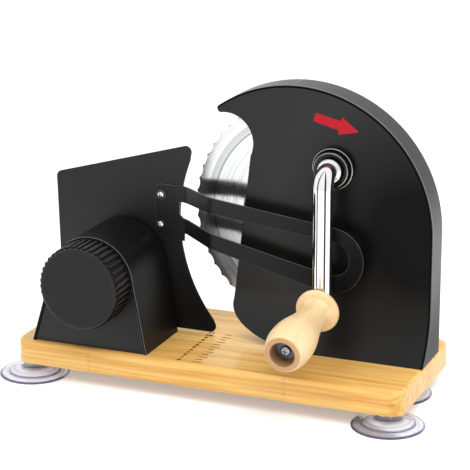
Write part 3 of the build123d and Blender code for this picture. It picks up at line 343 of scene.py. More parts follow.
def powder_black(name, tone, roughness, grit, sheen=0.0, shade_patch=None, shaded_seam=None, lip=None):
    """Black coated sheet with a fine pebble and uneven sheen. shade_patch is the middle of a patch of
    painted shade, where the sheen is taken away, with the distances, in millimetres, between which the
    sheen comes back. shaded_seam is the middle and radius of an arch whose outline is painted near
    black and without sheen, as the shade of the gap along it. lip is a front edge's Y, with a painted
    highlight along it, more so from LIP_LOW up to LIP_HIGH."""
    f = Finish(name)
    where = f.place()
    pebble = f.noise(where, grit, 2.0, 0.6)
    cloud = f.noise(where, 14.0)
    speck = f.noise(where, grit * 0.42, 2.0)
    colour = f.blend(cloud.spread(0.3, 0.7), shade(tone, 0.86), shade(tone, 1.14))
    colour = f.blend(speck.spread(0.66, 0.78) * 0.25, colour, shade(tone, 2.2))
    # Painted shade: round the patch's middle the coat's sheen is taken away, so the black renders darker
    # there.
    if shade_patch:
        patch, near, far = shade_patch
        away = f.node("VectorMath", {"operation": "DISTANCE"}, where, tuple(patch), out="Value")
        sheen = away.spread(near * MM, far * MM, 0.0, sheen)
    # Painted shade: a near-black line without sheen along the arch's outline, for the gap between shell and
    # band.
    if shaded_seam:
        (centre_x, centre_z), radius = shaded_seam
        x, _, z = f.apart(f.place((centre_x, 0, centre_z)))
        outline = off_axis(x, z.maths("MAXIMUM", z, 0.0))
        shaded = outline.spread(radius - 1.9 * MM, radius - 1.3 * MM)
        colour = f.blend(shaded, colour, SEAM_SHADE_COLOUR)
        sheen = (1 - shaded) * sheen
    # Painted highlight: a light grey line along the front edge.
    if lip is not None:
        _, y, z = f.apart(where)
        lip_highlight = abs(y - lip).spread(0.9 * MM, 0.5 * MM) * z.spread(LIP_LOW * MM, LIP_HIGH * MM)
        colour = f.blend(lip_highlight, colour, LIP_HIGHLIGHT)
    return f.shader(Base_Color=colour, Specular_IOR_Level=0.06, Coat_Weight=sheen, Coat_Roughness=roughness,
                    Roughness=cloud.spread(0.3, 0.7, roughness - 0.035, roughness + 0.035),
                    Normal=f.bump(pebble, 0.22, 0.00012))


def ribbed_plastic(name, tone, centre, face, rim):
    """Matt plastic of the knob: the face has a sheen, the ridges only on their tops; the skirt
    below the tops is painted darker as the shade between the ridges. face and rim are the radii of the two."""
    f = Finish(name)
    where = f.place(centre)
    grain = f.noise(where, 2100.0, 2.0, 0.6)
    x, _, z = f.apart(where)
    off = off_axis(x, z)
    skirt = off.spread(face * MM, (face + 0.3) * MM)
    top = off.spread((rim - 0.7) * MM, (rim - 0.1) * MM)
    sheen = 0.68 - skirt * 0.64 + top * 0.72
    colour = f.blend(grain.spread(0.3, 0.7), shade(tone, 0.85), shade(tone, 1.15))
    # Painted shade: the skirt between the ridge tops is darkened to a fifth of the tone.
    colour = f.blend(skirt * (1 - top), colour, shade(tone, 0.2))
    return f.shader(Base_Color=colour, Roughness=grain.spread(0.3, 0.7, 0.42, 0.52), Specular_IOR_Level=0.1,
                    Coat_Weight=sheen, Coat_Roughness=0.42, Normal=f.bump(grain, 0.2, 0.0001))


def metal(name, tone, roughness, brush=(1, 1, 1), depth=0.05):
    """Bare metal with fine tool marks; brush stretches them along one way."""
    f = Finish(name)
    marks = f.noise(f.place(scale=brush), 900.0, 2.0, 0.55)
    cloud = f.noise(f.place(), 35.0)
    colour = f.blend(cloud.spread(0.3, 0.7), shade(tone, 0.93), tone)
    return f.shader(Base_Color=colour, Metallic=1.0, Normal=f.bump(marks, depth, 0.0001),
                    Roughness=marks.spread(0.3, 0.7, roughness * 0.8, roughness * 1.2))


def ground_steel(centre, step_radius, bevel_radius, rim_radius):
    """Blade steel: turning marks, a greyer ring outside the step, a painted highlight on the bevel, a
    painted shade line along the step and painted shadow at the teeth.
    """
    f = Finish("blade_steel")
    x, _, z = f.apart(f.place(centre))
    away = off_axis(x, z)
    flat = f.node("CombineXYZ", None, away * 900.0, x * 9.0, z * 9.0)
    rings = f.noise(flat, 1.0, 4.0, 0.7)
    outside = away.spread((step_radius - 0.1) * MM, (step_radius + 0.1) * MM)
    # Painted highlight: the bevel ring is coloured brighter than the rest of the blade.
    bevel = away.spread(bevel_radius * MM, (bevel_radius + 0.4) * MM)
    # Painted shade: a dark line along the step.
    line = 1 - abs(away - step_radius * MM).spread(0.2 * MM, 0.6 * MM)
    # Painted shadow: the teeth darken towards their points.
    tip_shadow = away.spread((rim_radius - 1.7) * MM, (rim_radius - 0.3) * MM)
    colour = f.blend(outside, (0.80, 0.805, 0.81), (0.60, 0.605, 0.61))
    colour = f.blend(bevel, colour, (0.92, 0.925, 0.93))
    colour = f.blend(rings.spread(0.35, 0.65) * 0.38, colour, (0.50, 0.505, 0.51))
    colour = f.blend(line * 0.8, colour, (0.10, 0.10, 0.105))
    colour = f.blend(tip_shadow * 0.7, colour, (0.16, 0.16, 0.165))
    return f.shader(Base_Color=colour, Metallic=1.0, Roughness=rings.spread(0.3, 0.7, 0.13, 0.24),
                    Normal=f.bump(rings, 0.08, 0.0001))


def print_ink(name, tone, roughness):
    """Screen-printed ink, slightly uneven."""
    f = Finish(name)
    body = f.noise(f.place(), 500.0)
    colour = f.blend(body.spread(0.3, 0.7), shade(tone, 0.9), shade(tone, 1.08))
    return f.shader(Base_Color=colour, Specular_IOR_Level=0.15, Normal=f.bump(body, 0.08, 0.00005),
                    Roughness=body.spread(0.3, 0.7, roughness - 0.06, roughness + 0.06))


BAMBOO = bamboo()
GRIP_WOOD = turned_wood(GRIP_FOOT, GRIP_DROOP)
# The patches given to the shell, band, fence sheet and fork are painted shade: on the shell below the
# fork's loop, at the band's lower right, on the fence under the knob housing, and on the fork's loop.
SHELL = powder_black("shell_black", (0.0046, 0.0046, 0.0048), 0.36, 1500.0, 0.82,
                     shade_patch=(at(326, 75, 134), 38, 125), shaded_seam=(ARCH_CENTRE, ARCH_RADIUS))
WRAP = powder_black("wrap_black", (0.0052, 0.0052, 0.0054), 0.38, 1500.0, 0.22)
PANEL = powder_black("panel_black", (0.0068, 0.0068, 0.0070), 0.42, 1500.0, 0.8)
BAND = powder_black("band_black", (0.0085, 0.0085, 0.0090), 0.30, 1500.0, 0.42,
                    shade_patch=(at(340, 100, 33), 20, 70), lip=BAND_FRONT)
SHEET = powder_black("sheet_black", (0.0072, 0.0072, 0.0076), 0.38, 1700.0, 0.88,
                     shade_patch=(at(165, 83, 45), 30, 75))
FORK = powder_black("fork_black", (0.0060, 0.0060, 0.0064), 0.36, 1700.0, 0.8,
                    shade_patch=(at(285, 70, 100), 20, 150))
# Painted highlight: light grey with full sheen for the eased edges of the knob housing, the rim bands and
# the fork.
RIM_HIGHLIGHT = powder_black("rim_highlight", (0.17, 0.17, 0.175), 0.25, 900.0, 1.0)
# Painted shade: near black without sheen for the eased edge of the shell's face, standing for the shade in
# the gap to the band.
SEAM_SHADE = powder_black("seam_shade", (0.0012, 0.0012, 0.0012), 0.6, 900.0)
HUB_BLACK = powder_black("hub_black", (0.0050, 0.0050, 0.0052), 0.22, 1200.0, 0.6)
DARK_STEEL = metal("dark_steel", (0.10, 0.10, 0.105), 0.35)
SCREW_STEEL = metal("screw_steel", (0.34, 0.34, 0.35), 0.22)
CHROME = metal("chromed", (0.94, 0.94, 0.95), 0.035, depth=0.006)
STEEL = metal("steel", (0.62, 0.62, 0.63), 0.28, brush=(1.0, 6.0, 1.0))
BRASS = metal("bearing_brass", (0.74, 0.53, 0.24), 0.30, brush=(1.0, 6.0, 1.0))
BLADE_STEEL = ground_steel(BLADE, BLADE_STEP, BLADE_BEVEL, BLADE_RIM)
# Painted highlight: bright metal for a thin strip on the hub rings' shoulders, standing for the light
# caught by their rounding.
EDGE_HIGHLIGHT = metal("edge_highlight", (0.50, 0.50, 0.51), 0.24)
RED_INK = print_ink("red_print", (0.48, 0.012, 0.023), 0.42)
BROWN_INK = print_ink("scale_ticks", (0.33, 0.145, 0.042), 0.5)
DARK_INK = print_ink("scale_numbers", (0.090, 0.034, 0.011), 0.5)
KNOB_PLASTIC = ribbed_plastic("knob_plastic", (0.0085, 0.0085, 0.0090), KNOB, KNOB_FACE, KNOB_REACH)


# ---- making pieces ----

def piece(name, shape, finish, body, *nodes, slot=None, crease=32, mend=True, rim=None):
    """Turns a bmesh into a finished piece that rides on a body and may stand for CAD nodes.
    rim is a second finish, for the faces marked with material 1."""
    if mend:
        bmesh.ops.remove_doubles(shape, verts=shape.verts, dist=WELD)
        bmesh.ops.recalc_face_normals(shape, faces=shape.faces)
    for face in shape.faces:
        face.smooth = True
    for edge in shape.edges:
        edge.smooth = len(edge.link_faces) == 2 and edge.calc_face_angle(0) < radians(crease)
    mesh = bpy.data.meshes.new(name)
    shape.to_mesh(mesh)
    shape.free()
    mesh.materials.append(finish)
    if rim:
        mesh.materials.append(rim)
    made = put(bpy.data.objects.new(name, mesh))
    if not mend:
        flatten = made.modifiers.new("flatten", "WEIGHTED_NORMAL")
        flatten.keep_sharp = True
        flatten.weight = 100
    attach(made, body)
    if nodes:
        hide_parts(*nodes)
    return made


def merged(node):
    """A welded copy of a CAD node, its flat sides made whole again."""
    shape = bmesh.new()
    shape.from_mesh(frame["nodes"][node].data)
    bmesh.ops.remove_doubles(shape, verts=shape.verts, dist=WELD)
    bmesh.ops.dissolve_limit(shape, angle_limit=radians(0.4), verts=shape.verts, edges=shape.edges)
    return shape


EASED_ANGLE = 40


def ease(shape, width):
    """Rounds the edges sharper than EASED_ANGLE by width, in millimetres, and marks the new
    faces with material 1."""
    edges = [e for e in shape.edges
             if len(e.link_faces) == 2 and e.calc_face_angle(0) > radians(EASED_ANGLE)]
    rounded = bmesh.ops.bevel(shape, geom=edges, offset=width * MM, offset_type="OFFSET", segments=2,
                              profile=0.5, affect="EDGES", clamp_overlap=True, material=-1)
    for face in rounded["faces"]:
        face.material_index = 1


def turned(profile, steps=96, closed=False):
    """A body turned about Y. The profile is (radius, y) in millimetres; closed joins its ends."""
    shape = bmesh.new()
    verts = [shape.verts.new((radius * MM, y * MM, 0)) for radius, y in profile]
    edges = [shape.edges.new(pair) for pair in zip(verts, verts[1:] + verts[:1])]
    if not closed:
        shape.edges.remove(edges.pop())
    bmesh.ops.spin(shape, geom=verts + edges, cent=(0, 0, 0), axis=(0, 1, 0), angle=2 * pi,
                   steps=steps, use_merge=True)
    return shape


def moved(shape, where=(0, 0, 0), turn=None):
    bmesh.ops.transform(shape, matrix=Matrix.Translation(where) @ (turn or Matrix()), verts=shape.verts)
    return shape


def on_axis(shape, centre):
    """Lays a body turned about Y on the axis through centre; its y stays the board's y."""
    return moved(shape, (centre.x, board_low.y, centre.z))


def along_grip(shape):
    """Lays a body turned about Y along the grip's axis, pointing away from the arm."""
    turn = Vector((0, 1, 0)).rotation_difference(GRIP_AXIS).to_matrix().to_4x4()
    return moved(shape, GRIP_FOOT, turn)


def joined(name, shapes):
    """Several bmeshes as one."""
    whole = bmesh.new()
    for shape in shapes:
        mesh = bpy.data.meshes.new(name)
        shape.to_mesh(mesh)
        shape.free()
        whole.from_mesh(mesh)
        bpy.data.meshes.remove(mesh)
    return whole


def cut(body, tool):
    """Takes the tool's shape out of the body."""
    holders = []
    for name, shape in (("body_blank", body), ("cutting_tool", tool)):
        mesh = bpy.data.meshes.new(name)
        shape.to_mesh(mesh)
        shape.free()
        holders.append(put(bpy.data.objects.new(name, mesh)))
    taking = holders[0].modifiers.new("cut", "BOOLEAN")
    taking.operation = "DIFFERENCE"
    taking.solver = "EXACT"
    taking.object = holders[1]
    graph = bpy.context.evaluated_depsgraph_get()
    result = bmesh.new()
    result.from_mesh(holders[0].evaluated_get(graph).to_mesh())
    for holder in holders:
        mesh = holder.data
        bpy.data.objects.remove(holder)
        bpy.data.meshes.remove(mesh)
    return result


# ---- sheets and castings: the CAD shapes with their edges softened ----

# The knob housing's edge carries the painted highlight only from here to the right, measured from the
# knob's middle.
HOUSING_HIGHLIGHT_FROM = -22.0

# In the rim column, the light grey finish paints a highlight on the eased edges, and the near-black one
# paints the shade of the gap round the shell's face.
for name, finish, rim, body, slot, width in (
        ("base_board", BAMBOO, BAMBOO, "slicer", "bamboo", 0.5),
        ("knob_housing", WRAP, RIM_HIGHLIGHT, "slicer", "black_shell", 0.5),
        ("knob_front_panel", PANEL, PANEL, "slicer", "black_shell", 0.2),
        ("knob_rear_panel", PANEL, PANEL, "slicer", "black_shell", 0.2),
        # The shell's eased edge is painted near black as the shade of the gap round its face.
        ("housing_front", SHELL, SEAM_SHADE, "slicer", "black_shell", 1.3),
        ("rim_band_left", BAND, RIM_HIGHLIGHT, "slicer", "black_shell", 0.6),
        ("rim_band_right", BAND, RIM_HIGHLIGHT, "slicer", "black_shell", 0.6),
        ("fence_plate", SHEET, SHEET, "fence", "black_metal", 0.3),
        ("fork_guard", FORK, RIM_HIGHLIGHT, "fence", "black_metal", 0.4),
        ("blade", BLADE_STEEL, BLADE_STEEL, "blade_wheel", "blade_steel", 0)):
    copy = merged(name)
    if width:
        ease(copy, width)
    # Left of this point the knob housing's eased edges keep the plain black, without the painted highlight.
    if name == "knob_housing":
        for face in copy.faces:
            if face.calc_center_median().x < KNOB.x + HOUSING_HIGHLIGHT_FROM * MM:
                face.material_index = 0
    piece("dressed_" + name, copy, finish, body, name, slot=slot, mend=False, crease=50, rim=rim)


# ---- thickness knob ----

RIDGE_SHARE = 0.7
RIDGE_FULLNESS = 0.6
KNOB_WALL = 2.5
KNOB_BOSS = 8.0
KNOB_BORE = 4.0


def thickness_knob():
    """Cap with a softly dished face, and a skirt whose ridges run to the back."""
    inner = KNOB_FACE - KNOB_WALL
    profile = [(0, KNOB_FRONT + 0.55), (KNOB_FACE * 0.45, KNOB_FRONT + 0.45),
               (KNOB_FACE * 0.8, KNOB_FRONT + 0.18), (KNOB_FACE - 3.2, KNOB_FRONT),
               (KNOB_FACE - 1.5, KNOB_FRONT), (KNOB_FACE - 0.75, KNOB_FRONT + 0.2),
               (KNOB_FACE - 0.2, KNOB_FRONT + 0.75), (KNOB_FACE, KNOB_FRONT + 1.5),
               (KNOB_FACE, KNOB_FRONT + 1.9), (KNOB_REACH - 0.45, KNOB_FRONT + 2.2),
               (KNOB_REACH, KNOB_FRONT + 3.0), (KNOB_REACH, KNOB_BACK - 0.5),
               (KNOB_REACH - 0.5, KNOB_BACK), (inner, KNOB_BACK), (inner, KNOB_FRONT + 4.0),
               (KNOB_BOSS, KNOB_FRONT + 4.0), (KNOB_BOSS, KNOB_BACK - 3.1), (KNOB_BORE, KNOB_BACK - 3.1),
               (KNOB_BORE, KNOB_FRONT + 2.75), (0, KNOB_FRONT + 2.75)]
    shape = turned(profile, KNOB_FLUTES * 10)
    for vert in shape.verts:
        reach = (vert.co.x ** 2 + vert.co.z ** 2) ** 0.5 / MM
        if reach > KNOB_FACE + 0.05:
            angle = Vector((vert.co.x, vert.co.z)).angle_signed(Vector((1, 0)))
            part = angle / (2 * pi) * KNOB_FLUTES % 1
            ridge = sin(pi * part / RIDGE_SHARE) ** RIDGE_FULLNESS if part < RIDGE_SHARE else 0.0
            share = (KNOB_FACE + (reach - KNOB_FACE) * ridge) / reach
            vert.co.x *= share
            vert.co.z *= share
    return on_axis(shape, KNOB)


piece("knob_fluted", thickness_knob(), KNOB_PLASTIC, "knob", "thickness_knob", slot="black_shell",
      crease=24)


# ---- suction cups ----

CUP_STEPS = ((29.3, 2.6, 0.95), (21.2, 1.0, 0.75), (17.0, 0.8, 0.35), (10.0, 1.2, 0.6))
CUP_PROFILE = ((2.0, 4.6), (2.0, 12.98), (9.4, 12.98), (9.4, 8.6), (9.9, 7.6), (11.4, 7.05), (14.0, 6.2),
               (17.5, 4.9), (20.4, 3.95), (21.4, 3.5), (21.5, 2.9), (21.9, 2.5), (24.2, 2.05), (27.4, 1.65),
               (28.9, 1.3), (29.3, 0.8), (29.15, 0.25), (28.4, 0.0), (25.3, 0.0), (23.0, 0.75), (16.0, 2.9),
               (9.4, 4.6))


def suction_cup(node):
    """Thin lip, a raised disc with a step, and a neck under the board."""
    centre = middle(node)
    upright = Matrix.Rotation(radians(90), 4, "X")
    return moved(turned(CUP_PROFILE, closed=True), (centre.x, centre.y, 0), upright)


for corner in ("front_left", "front_right", "back_left", "back_right"):
    node = "suction_cup_" + corner
    piece("cup_" + corner, suction_cup(node), clear_cup(middle(node), CUP_STEPS), "slicer", node,
          slot="clear_cup", crease=50)


# ---- crank hub and collar ----

def hub_ring(node, outer, bore, lip):
    """Ring with a rounded shoulder, a shallow groove turned in its front, a lip, and a thin strip of bright
    metal on the shoulder as a painted highlight.
    """
    front, back = y_of(node)
    profile = [(bore, back), (bore, front + 0.6), (bore + 0.4, front + 0.25), (outer - lip, front + 0.25),
               (outer - lip + 0.25, front), (outer - 0.75, front), (outer - 0.2, front + 0.3),
               (outer, front + 1.0), (outer, back)]
    shape = on_axis(turned(profile, closed=True), CRANK)
    # Painted highlight: these faces on the shoulder take the bright metal finish.
    for face in shape.faces:
        centre = face.calc_center_median()
        off = Vector((centre.x - CRANK.x, centre.z - CRANK.z)).length / MM
        if outer - 0.72 < off < outer - 0.21:
            face.material_index = 1
    return shape


for node, outer, lip in (("hub_bezel", 17.3, 1.9), ("hub_nut", 14.7, 2.6)):
    piece(node + "_turned", hub_ring(node, outer, 8.0, lip), HUB_BLACK, "slicer", node,
          slot="black_shell", crease=50, rim=EDGE_HIGHLIGHT)

SHAFT_RADIUS = 5.0


def crank_collar():
    """Bright collar round the rod where it leaves the hub."""
    front, back = y_of("crank_collar")
    profile = [(SHAFT_RADIUS, back), (SHAFT_RADIUS, front + 0.9), (7.1, front + 0.9), (7.3, front + 0.3),
               (7.8, front), (8.9, front), (9.7, front + 0.3), (10.1, front + 1.0), (10.1, back - 0.4),
               (9.7, back)]
    return on_axis(turned(profile, closed=True), CRANK)


piece("collar_turned", crank_collar(), CHROME, "crank", "crank_collar", slot="chromed", crease=50)


# ---- crank rod ----

ROD_RADIUS = 8.0
ROD_BEND = 12.0
ROD_SIDES = 64
ROD_BELOW_GRIP = 6.0
ROD_TIP_ROUND = 2.0
WASHER_REACH = 14.3
GRIP_SEAT = 5.8


def drawn_on(shape, edges, steps, towards):
    """Draws the open end of a bar out by one step after another, in millimetres."""
    for step in steps:
        drawn = bmesh.ops.extrude_edge_only(shape, edges=edges)["geom"]
        verts = [v for v in drawn if isinstance(v, bmesh.types.BMVert)]
        edges = [e for e in drawn if isinstance(e, bmesh.types.BMEdge) and e.is_boundary]
        bmesh.ops.translate(shape, verts=verts, vec=Vector(towards) * step * MM)
    return edges


def crank_rod():
    """Shaft, one smooth bend and the arm; the grip's washer lies on a flat filed on the arm."""
    rod_y = (GRIP_FOOT.y - board_low.y) / MM
    back = y_of("crank_rod")[1]
    collar_front = y_of("crank_collar")[0]
    shape = bmesh.new()
    bmesh.ops.create_circle(shape, segments=ROD_SIDES, radius=ROD_RADIUS * MM)
    moved(shape, (CRANK.x, board_low.y + collar_front * MM, CRANK.z), Matrix.Rotation(radians(90), 4, "X"))
    ring = shape.edges[:]
    shoulder = bmesh.ops.extrude_edge_only(shape, edges=ring)["geom"]
    shaft_ring = [e for e in shoulder if isinstance(e, bmesh.types.BMEdge) and e.is_boundary]
    for vert in [v for v in shoulder if isinstance(v, bmesh.types.BMVert)]:
        vert.co.x = CRANK.x + (vert.co.x - CRANK.x) * SHAFT_RADIUS / ROD_RADIUS
        vert.co.z = CRANK.z + (vert.co.z - CRANK.z) * SHAFT_RADIUS / ROD_RADIUS
    shaft_ring = drawn_on(shape, shaft_ring, [back - collar_front], (0, 1, 0))
    bmesh.ops.contextual_create(shape, geom=shaft_ring)
    ends = drawn_on(shape, ring, [collar_front - rod_y - ROD_BEND], (0, -1, 0))
    centre = Vector((CRANK.x, board_low.y + (rod_y + ROD_BEND) * MM, CRANK.z - ROD_BEND * MM))
    bend = bmesh.ops.spin(shape, geom=ends, cent=centre, axis=(1, 0, 0), angle=radians(90), steps=16)
    ends = [e for e in bend["geom_last"] if isinstance(e, bmesh.types.BMEdge)]
    arm = (CRANK.z - GRIP_FOOT.z) / MM - ROD_BEND
    near = WASHER_REACH + 1.0
    ends = drawn_on(shape, ends, [(arm - near) / 4] * 4 + [near / 14] * 14 + [ROD_BELOW_GRIP], (0, 0, -1))
    tip = bmesh.ops.contextual_create(shape, geom=ends)["faces"][0]
    bmesh.ops.bevel(shape, geom=list(tip.edges), offset=ROD_TIP_ROUND * MM, offset_type="OFFSET",
                    segments=4, profile=0.5, affect="EDGES", clamp_overlap=True, material=-1)
    for vert in shape.verts:
        out = vert.co - GRIP_FOOT
        along = out.dot(GRIP_AXIS)
        if along > GRIP_SEAT * MM and (out - GRIP_AXIS * along).length < WASHER_REACH * MM:
            vert.co -= GRIP_AXIS * (along - GRIP_SEAT * MM)
    return shape


piece("rod_bent", crank_rod(), CHROME, "crank", "crank_rod", slot="chromed", crease=34)


# ---- wooden grip ----

def curve(points, count):
    """Points along a smooth line through the given ones."""
    line = []
    ghost = [points[0], *points, points[-1]]
    for a, b, c, d in zip(ghost, ghost[1:], ghost[2:], ghost[3:]):
        for step in range(count):
            t = step / count
            line.append(tuple(0.5 * (2 * q + (r - p) * t + (2 * p - 5 * q + 4 * r - s) * t ** 2
                                     + (3 * q - p - 3 * r + s) * t ** 3)
                              for p, q, r, s in zip(a, b, c, d)))
    return line + [points[-1]]


def wooden_grip():
    """Turned grip: rounded flange, slim neck, full belly, rounded end with a bored recess."""
    flange = curve([(16.6, GRIP_START), (17.6, GRIP_START + 0.9), (18.1, GRIP_START + 2.7),
                    (17.5, GRIP_START + 4.7), (16.2, GRIP_START + 5.6)], 3)
    body = curve([(12.9, GRIP_START + 6.1), (11.2, GRIP_START + 9.0), (10.8, GRIP_START + 12.5),
                  (11.7, GRIP_START + 22.0), (14.1, GRIP_START + 36.0), (17.2, GRIP_START + 50.0),
                  (18.2, GRIP_START + 60.0), (17.9, GRIP_START + 70.0), (16.0, GRIP_START + 78.6)], 5)
    end = curve([(15.5, GRIP_END - 2.0), (14.7, GRIP_END - 0.6), (13.4, GRIP_END)], 3)
    recess = [(RECESS_RADIUS + 0.5, GRIP_END), (RECESS_RADIUS, GRIP_END - 0.5),
              (RECESS_RADIUS, GRIP_END - RECESS_DEPTH), (GRIP_BORE, GRIP_END - RECESS_DEPTH)]
    profile = [(GRIP_BORE, GRIP_START)] + flange + body + end + recess
    return along_grip(turned(profile, closed=True))


piece("grip_turned", wooden_grip(), GRIP_WOOD, "grip", "wooden_grip", slot="grip_wood", crease=40)


# ---- screws: domed heads with a cross recess ----

CROSS_TAPER = 0.72


def cross_head(radius, height, slot_half, slot_reach, depth, steps=48):
    """Screw head seated at y 0 and domed towards -Y, with a cross cut in its top. The cross
    narrows by CROSS_TAPER down to its floor."""
    profile = [(radius, 0), (radius, -0.45 * height), (radius * 0.93, -0.72 * height),
               (radius * 0.76, -0.9 * height), (radius * 0.5, -height), (0, -height), (0, 0)]
    head = turned(profile, steps)
    cutter = bmesh.new()
    outline = []
    for quarter in range(4):
        turn = Matrix.Rotation(-radians(90 * quarter), 2)
        for corner in ((slot_half, slot_half), (slot_reach, slot_half), (slot_reach, -slot_half)):
            outline.append(turn @ Vector(corner))
    face = cutter.faces.new([cutter.verts.new((p.x * MM, -(height + 1) * MM, p.y * MM)) for p in outline])
    pushed = bmesh.ops.extrude_face_region(cutter, geom=[face])["geom"]
    low = [v for v in pushed if isinstance(v, bmesh.types.BMVert)]
    bmesh.ops.translate(cutter, verts=low, vec=(0, (1 + depth) * MM, 0))
    for vert in low:
        vert.co.x *= CROSS_TAPER
        vert.co.z *= CROSS_TAPER
    bmesh.ops.recalc_face_normals(cutter, faces=cutter.faces)
    bmesh.ops.remove_doubles(head, verts=head.verts, dist=WELD)
    bmesh.ops.recalc_face_normals(head, faces=head.faces)
    return cut(head, cutter)


SEAT_OVER_RECESS = 1.1


def grip_screw():
    """Cross-headed screw on the washer in the grip's recess, with its shank to the arm."""
    seat = GRIP_END - RECESS_DEPTH + SEAT_OVER_RECESS
    head = cross_head(radius=4.2, height=2.6, slot_half=0.55, slot_reach=2.5, depth=1.5)
    moved(head, turn=Matrix.Rotation(pi, 4, "X"))
    moved(head, (0, seat * MM, 0))
    shank = turned([(0, -2.2), (3.2, -2.2), (3.2, seat), (0, seat)], 32)
    return along_grip(joined("screw", [head, shank]))


piece("grip_screw_crossed", grip_screw(), SCREW_STEEL, "crank", "grip_screw", slot="steel", crease=30)

FORK_SCREWS = ((103.4, 150.5), (102.6, 124.8))


def fork_screws():
    """The two screws that hold the fork on the fence plate, at their (x, z) places."""
    seat = y_of("fork_washers")[0]
    back = y_of("fence_plate")[1]
    shapes = []
    for x, z in FORK_SCREWS:
        centre = at(x, 0, z)
        head = cross_head(radius=2.6, height=1.6, slot_half=0.4, slot_reach=1.7, depth=0.9, steps=40)
        shank = turned([(0, seat), (1.5, seat), (1.5, back), (0, back)], 24)
        shapes += [on_axis(moved(head, (0, seat * MM, 0)), centre), on_axis(shank, centre)]
    return joined("fork_screws", shapes)


piece("fork_screws_crossed", fork_screws(), CHROME, "fence", "fork_screws", slot="steel", crease=30)


# ---- printed marks ----

ARROW = ((238.2, 230.3), (235.7, 223.5), (257.3, 217.7), (256.9, 214.0), (274.3, 217.6), (260.0, 228.5),
         (259.2, 225.2))
SHELL_FACE = 75.0
INK = 0.05


def arrow_print():
    """Red arrow that shows which way the crank turns, as (x, z) points on the shell's face."""
    shape = bmesh.new()
    shape.faces.new([shape.verts.new(at(x, SHELL_FACE - INK, z)) for x, z in ARROW])
    pushed = bmesh.ops.extrude_face_region(shape, geom=shape.faces[:])
    moving = [v for v in pushed["geom"] if isinstance(v, bmesh.types.BMVert)]
    bmesh.ops.translate(shape, verts=moving, vec=(0, 2 * INK * MM, 0))
    return shape


piece("arrow_print", arrow_print(), RED_INK, "slicer")

SCALE_STEPS = 12
SCALE_START = 6.3
SCALE_PITCH = 6.2
TICK_X = 159.3
TICK_SHORT = 5.6
TICK_LONG = 7.6
TICK_WIDTH = 1.6
NUMBER_X = 147.0
NUMBER_SIZE = 4.5
NUMBER_WEIGHT = 0.26
NUMBER_WIDENING = 1.35


def on_board(shape, x, step, size):
    """Puts a mark on the board's top at one step of the scale."""
    place = at(x, SCALE_START + SCALE_PITCH * step, 0)
    return moved(shape, (place.x, place.y, board_high.z), size)


def scale_ticks():
    """Lines of the thickness scale burnt into the board, every second one longer."""
    shapes = []
    for step in range(SCALE_STEPS):
        tick = bmesh.new()
        bmesh.ops.create_cube(tick, size=1)
        length = TICK_SHORT if step % 2 else TICK_LONG
        size = Matrix.Diagonal((length * MM, TICK_WIDTH * MM, 2 * INK * MM, 1))
        shapes.append(on_board(tick, TICK_X + length / 2, step, size))
    return joined("ticks", shapes)


def scale_numbers():
    """The numbers of the scale, left of its lines."""
    shapes = []
    for number in range(SCALE_STEPS):
        text = bpy.data.curves.new("number", "FONT")
        text.body = str(number)
        text.size = NUMBER_SIZE * MM
        text.offset = NUMBER_WEIGHT * MM
        text.align_x = "CENTER"
        text.align_y = "CENTER"
        text.extrude = INK * MM
        holder = bpy.data.objects.new("number", text)
        mesh = bpy.data.meshes.new_from_object(holder)
        digit = bmesh.new()
        digit.from_mesh(mesh)
        shapes.append(on_board(digit, NUMBER_X, number, Matrix.Scale(NUMBER_WIDENING, 4, (1, 0, 0))))
        bpy.data.objects.remove(holder)
        bpy.data.meshes.remove(mesh)
        bpy.data.curves.remove(text)
    return joined("numbers", shapes)


piece("scale_ticks", scale_ticks(), BROWN_INK, "slicer")
piece("scale_numbers", scale_numbers(), DARK_INK, "slicer")


# ---- CAD nodes that keep their shape and only get a finish ----

for finish, nodes in (
        (DARK_STEEL, ("fork_washers", "grip_cup_washer")),
        (BRASS, ("spindle_bush", "guide_bushes", "crank_bush")),
        (STEEL, ("cup_screws", "knob_housing_screws", "spindle", "spindle_clip", "fence_nut", "nut_rivets",
                 "guide_rods", "housing_screws", "bearing_plate", "plate_screws", "blade_stud",
                 "axle_washer", "axle_screw", "blade_gear", "blade_clamp_ring", "blade_screws",
                 "crank_pinion", "pinion_clip", "grip_washer"))):
    for name in nodes:
        mesh = frame["nodes"][name].data
        mesh.materials.clear()
        mesh.materials.append(finish)


# ---- floor, light and camera ----

AMBIENT = 0.74
FLOOR_SIZE = 6.0
FLOOR_GLOW = 0.30
WHITE = (1.0, 1.0, 1.0, 1.0)

# Dark studio flags: the bearings, in degrees from straight ahead, between which they stand.
FLAGS = ((-53.0, -37.0), (36.0, 57.0))
FLAG_EDGE = 2.0
FLAG_DEPTH = 0.97


def flags(x, y):
    """1 where the bearing from straight ahead lies behind one of the flags."""
    bearing = x.maths("ARCTAN2", x, 0 - y) * (180 / pi)
    dark = 0.0
    for low, high in FLAGS:
        begun = bearing.spread(low - FLAG_EDGE, low + FLAG_EDGE)
        ended = bearing.spread(high - FLAG_EDGE, high + FLAG_EDGE)
        dark = begun * (1 - ended) + dark
    return dark


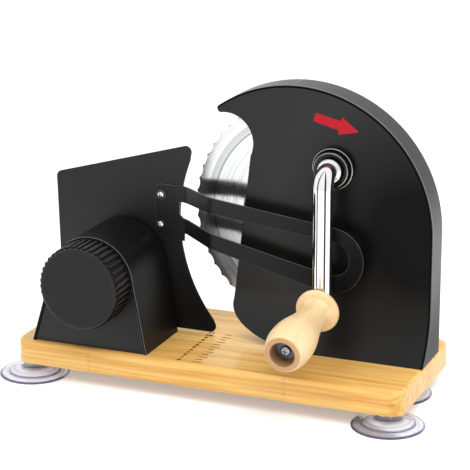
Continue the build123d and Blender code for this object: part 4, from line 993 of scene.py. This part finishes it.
def floor():
    """Pale floor that takes the shadow. It shows white to the camera and, apart from the flags,
    to bright surfaces."""
    shape = bmesh.new()
    bmesh.ops.create_grid(shape, x_segments=1, y_segments=1, size=FLOOR_SIZE)
    mesh = bpy.data.meshes.new("floor")
    shape.to_mesh(mesh)
    shape.free()
    f = Finish("floor")
    seen, glossy, through = f.rays()
    cloth = f.node("BsdfDiffuse", None, (0.86, 0.86, 0.86, 1.0))
    glow = f.node("Emission", None, WHITE, (seen + glossy + through) * FLOOR_GLOW)
    both = f.node("AddShader", None, cloth, glow)
    x, y, _ = f.apart(f.place((CRANK.x, GRIP_FOOT.y, 0)))
    black = f.node("BsdfDiffuse", None, (0.0, 0.0, 0.0, 1.0))
    flag = flags(x, y) * glossy * FLAG_DEPTH
    f.node("OutputMaterial", None, f.node("MixShader", None, flag, both, black))
    mesh.materials.append(f.material)
    put(bpy.data.objects.new("floor", mesh))


def world():
    """Even soft light all round; bright surfaces see white with two dark studio flags."""
    made = bpy.data.worlds.new("studio")
    made.use_nodes = True
    bpy.context.scene.world = made
    f = Finish("studio", made.node_tree)
    seen, glossy, through = f.rays()
    x, y, _ = f.apart(f.node("TexCoord", out="Generated"))
    shown = 1 - flags(x, y) * glossy * FLAG_DEPTH
    strength = AMBIENT + (seen + through + glossy) * (1 - AMBIENT)
    back = f.node("Background", None, WHITE, shown * strength)
    f.node("OutputWorld", None, back)


def lamp(name, where, size, power, aim):
    """Soft box that lights the object and doesn't show in its bright surfaces."""
    light = bpy.data.lights.new(name, "AREA")
    light.shape = "RECTANGLE"
    light.size, light.size_y = size
    light.energy = power
    made = put(bpy.data.objects.new(name, light))
    made.location = where
    made.rotation_euler = (Vector(aim) - Vector(where)).to_track_quat("-Z", "Y").to_euler()
    made.visible_glossy = False


CAMERA_PLACE = (722.2, -1265.9, 555.3)
CAMERA_BEARING = 22.449
CAMERA_DOWN = 16.651
CAMERA_ROLL = -0.183
CAMERA_LENS = 140.75


def camera():
    """The photograph's viewing angle."""
    data = bpy.data.cameras.new("camera")
    data.lens = CAMERA_LENS
    data.sensor_width = 36.0
    data.clip_start = 0.05
    data.clip_end = 50.0
    made = put(bpy.data.objects.new("camera", data))
    turn = (Matrix.Rotation(radians(CAMERA_BEARING), 4, "Z")
            @ Matrix.Rotation(radians(90 - CAMERA_DOWN), 4, "X")
            @ Matrix.Rotation(radians(CAMERA_ROLL), 4, "Z"))
    made.matrix_world = Matrix.Translation(at(*CAMERA_PLACE)) @ turn
    bpy.context.scene.camera = made


floor()
world()
lamp("key", (-0.5, -1.1, 1.6), (1.0, 1.0), 9.5, (0, 0, 0.05))
lamp("top", (0.7, -0.6, 1.4), (0.9, 0.9), 11.5, (0.05, 0, 0.05))
lamp("rim", (0.6, 1.0, 1.2), (1.2, 0.6), 6.0, (0, 0, 0.1))
camera()
bpy.context.scene.view_settings.view_transform = "Standard"
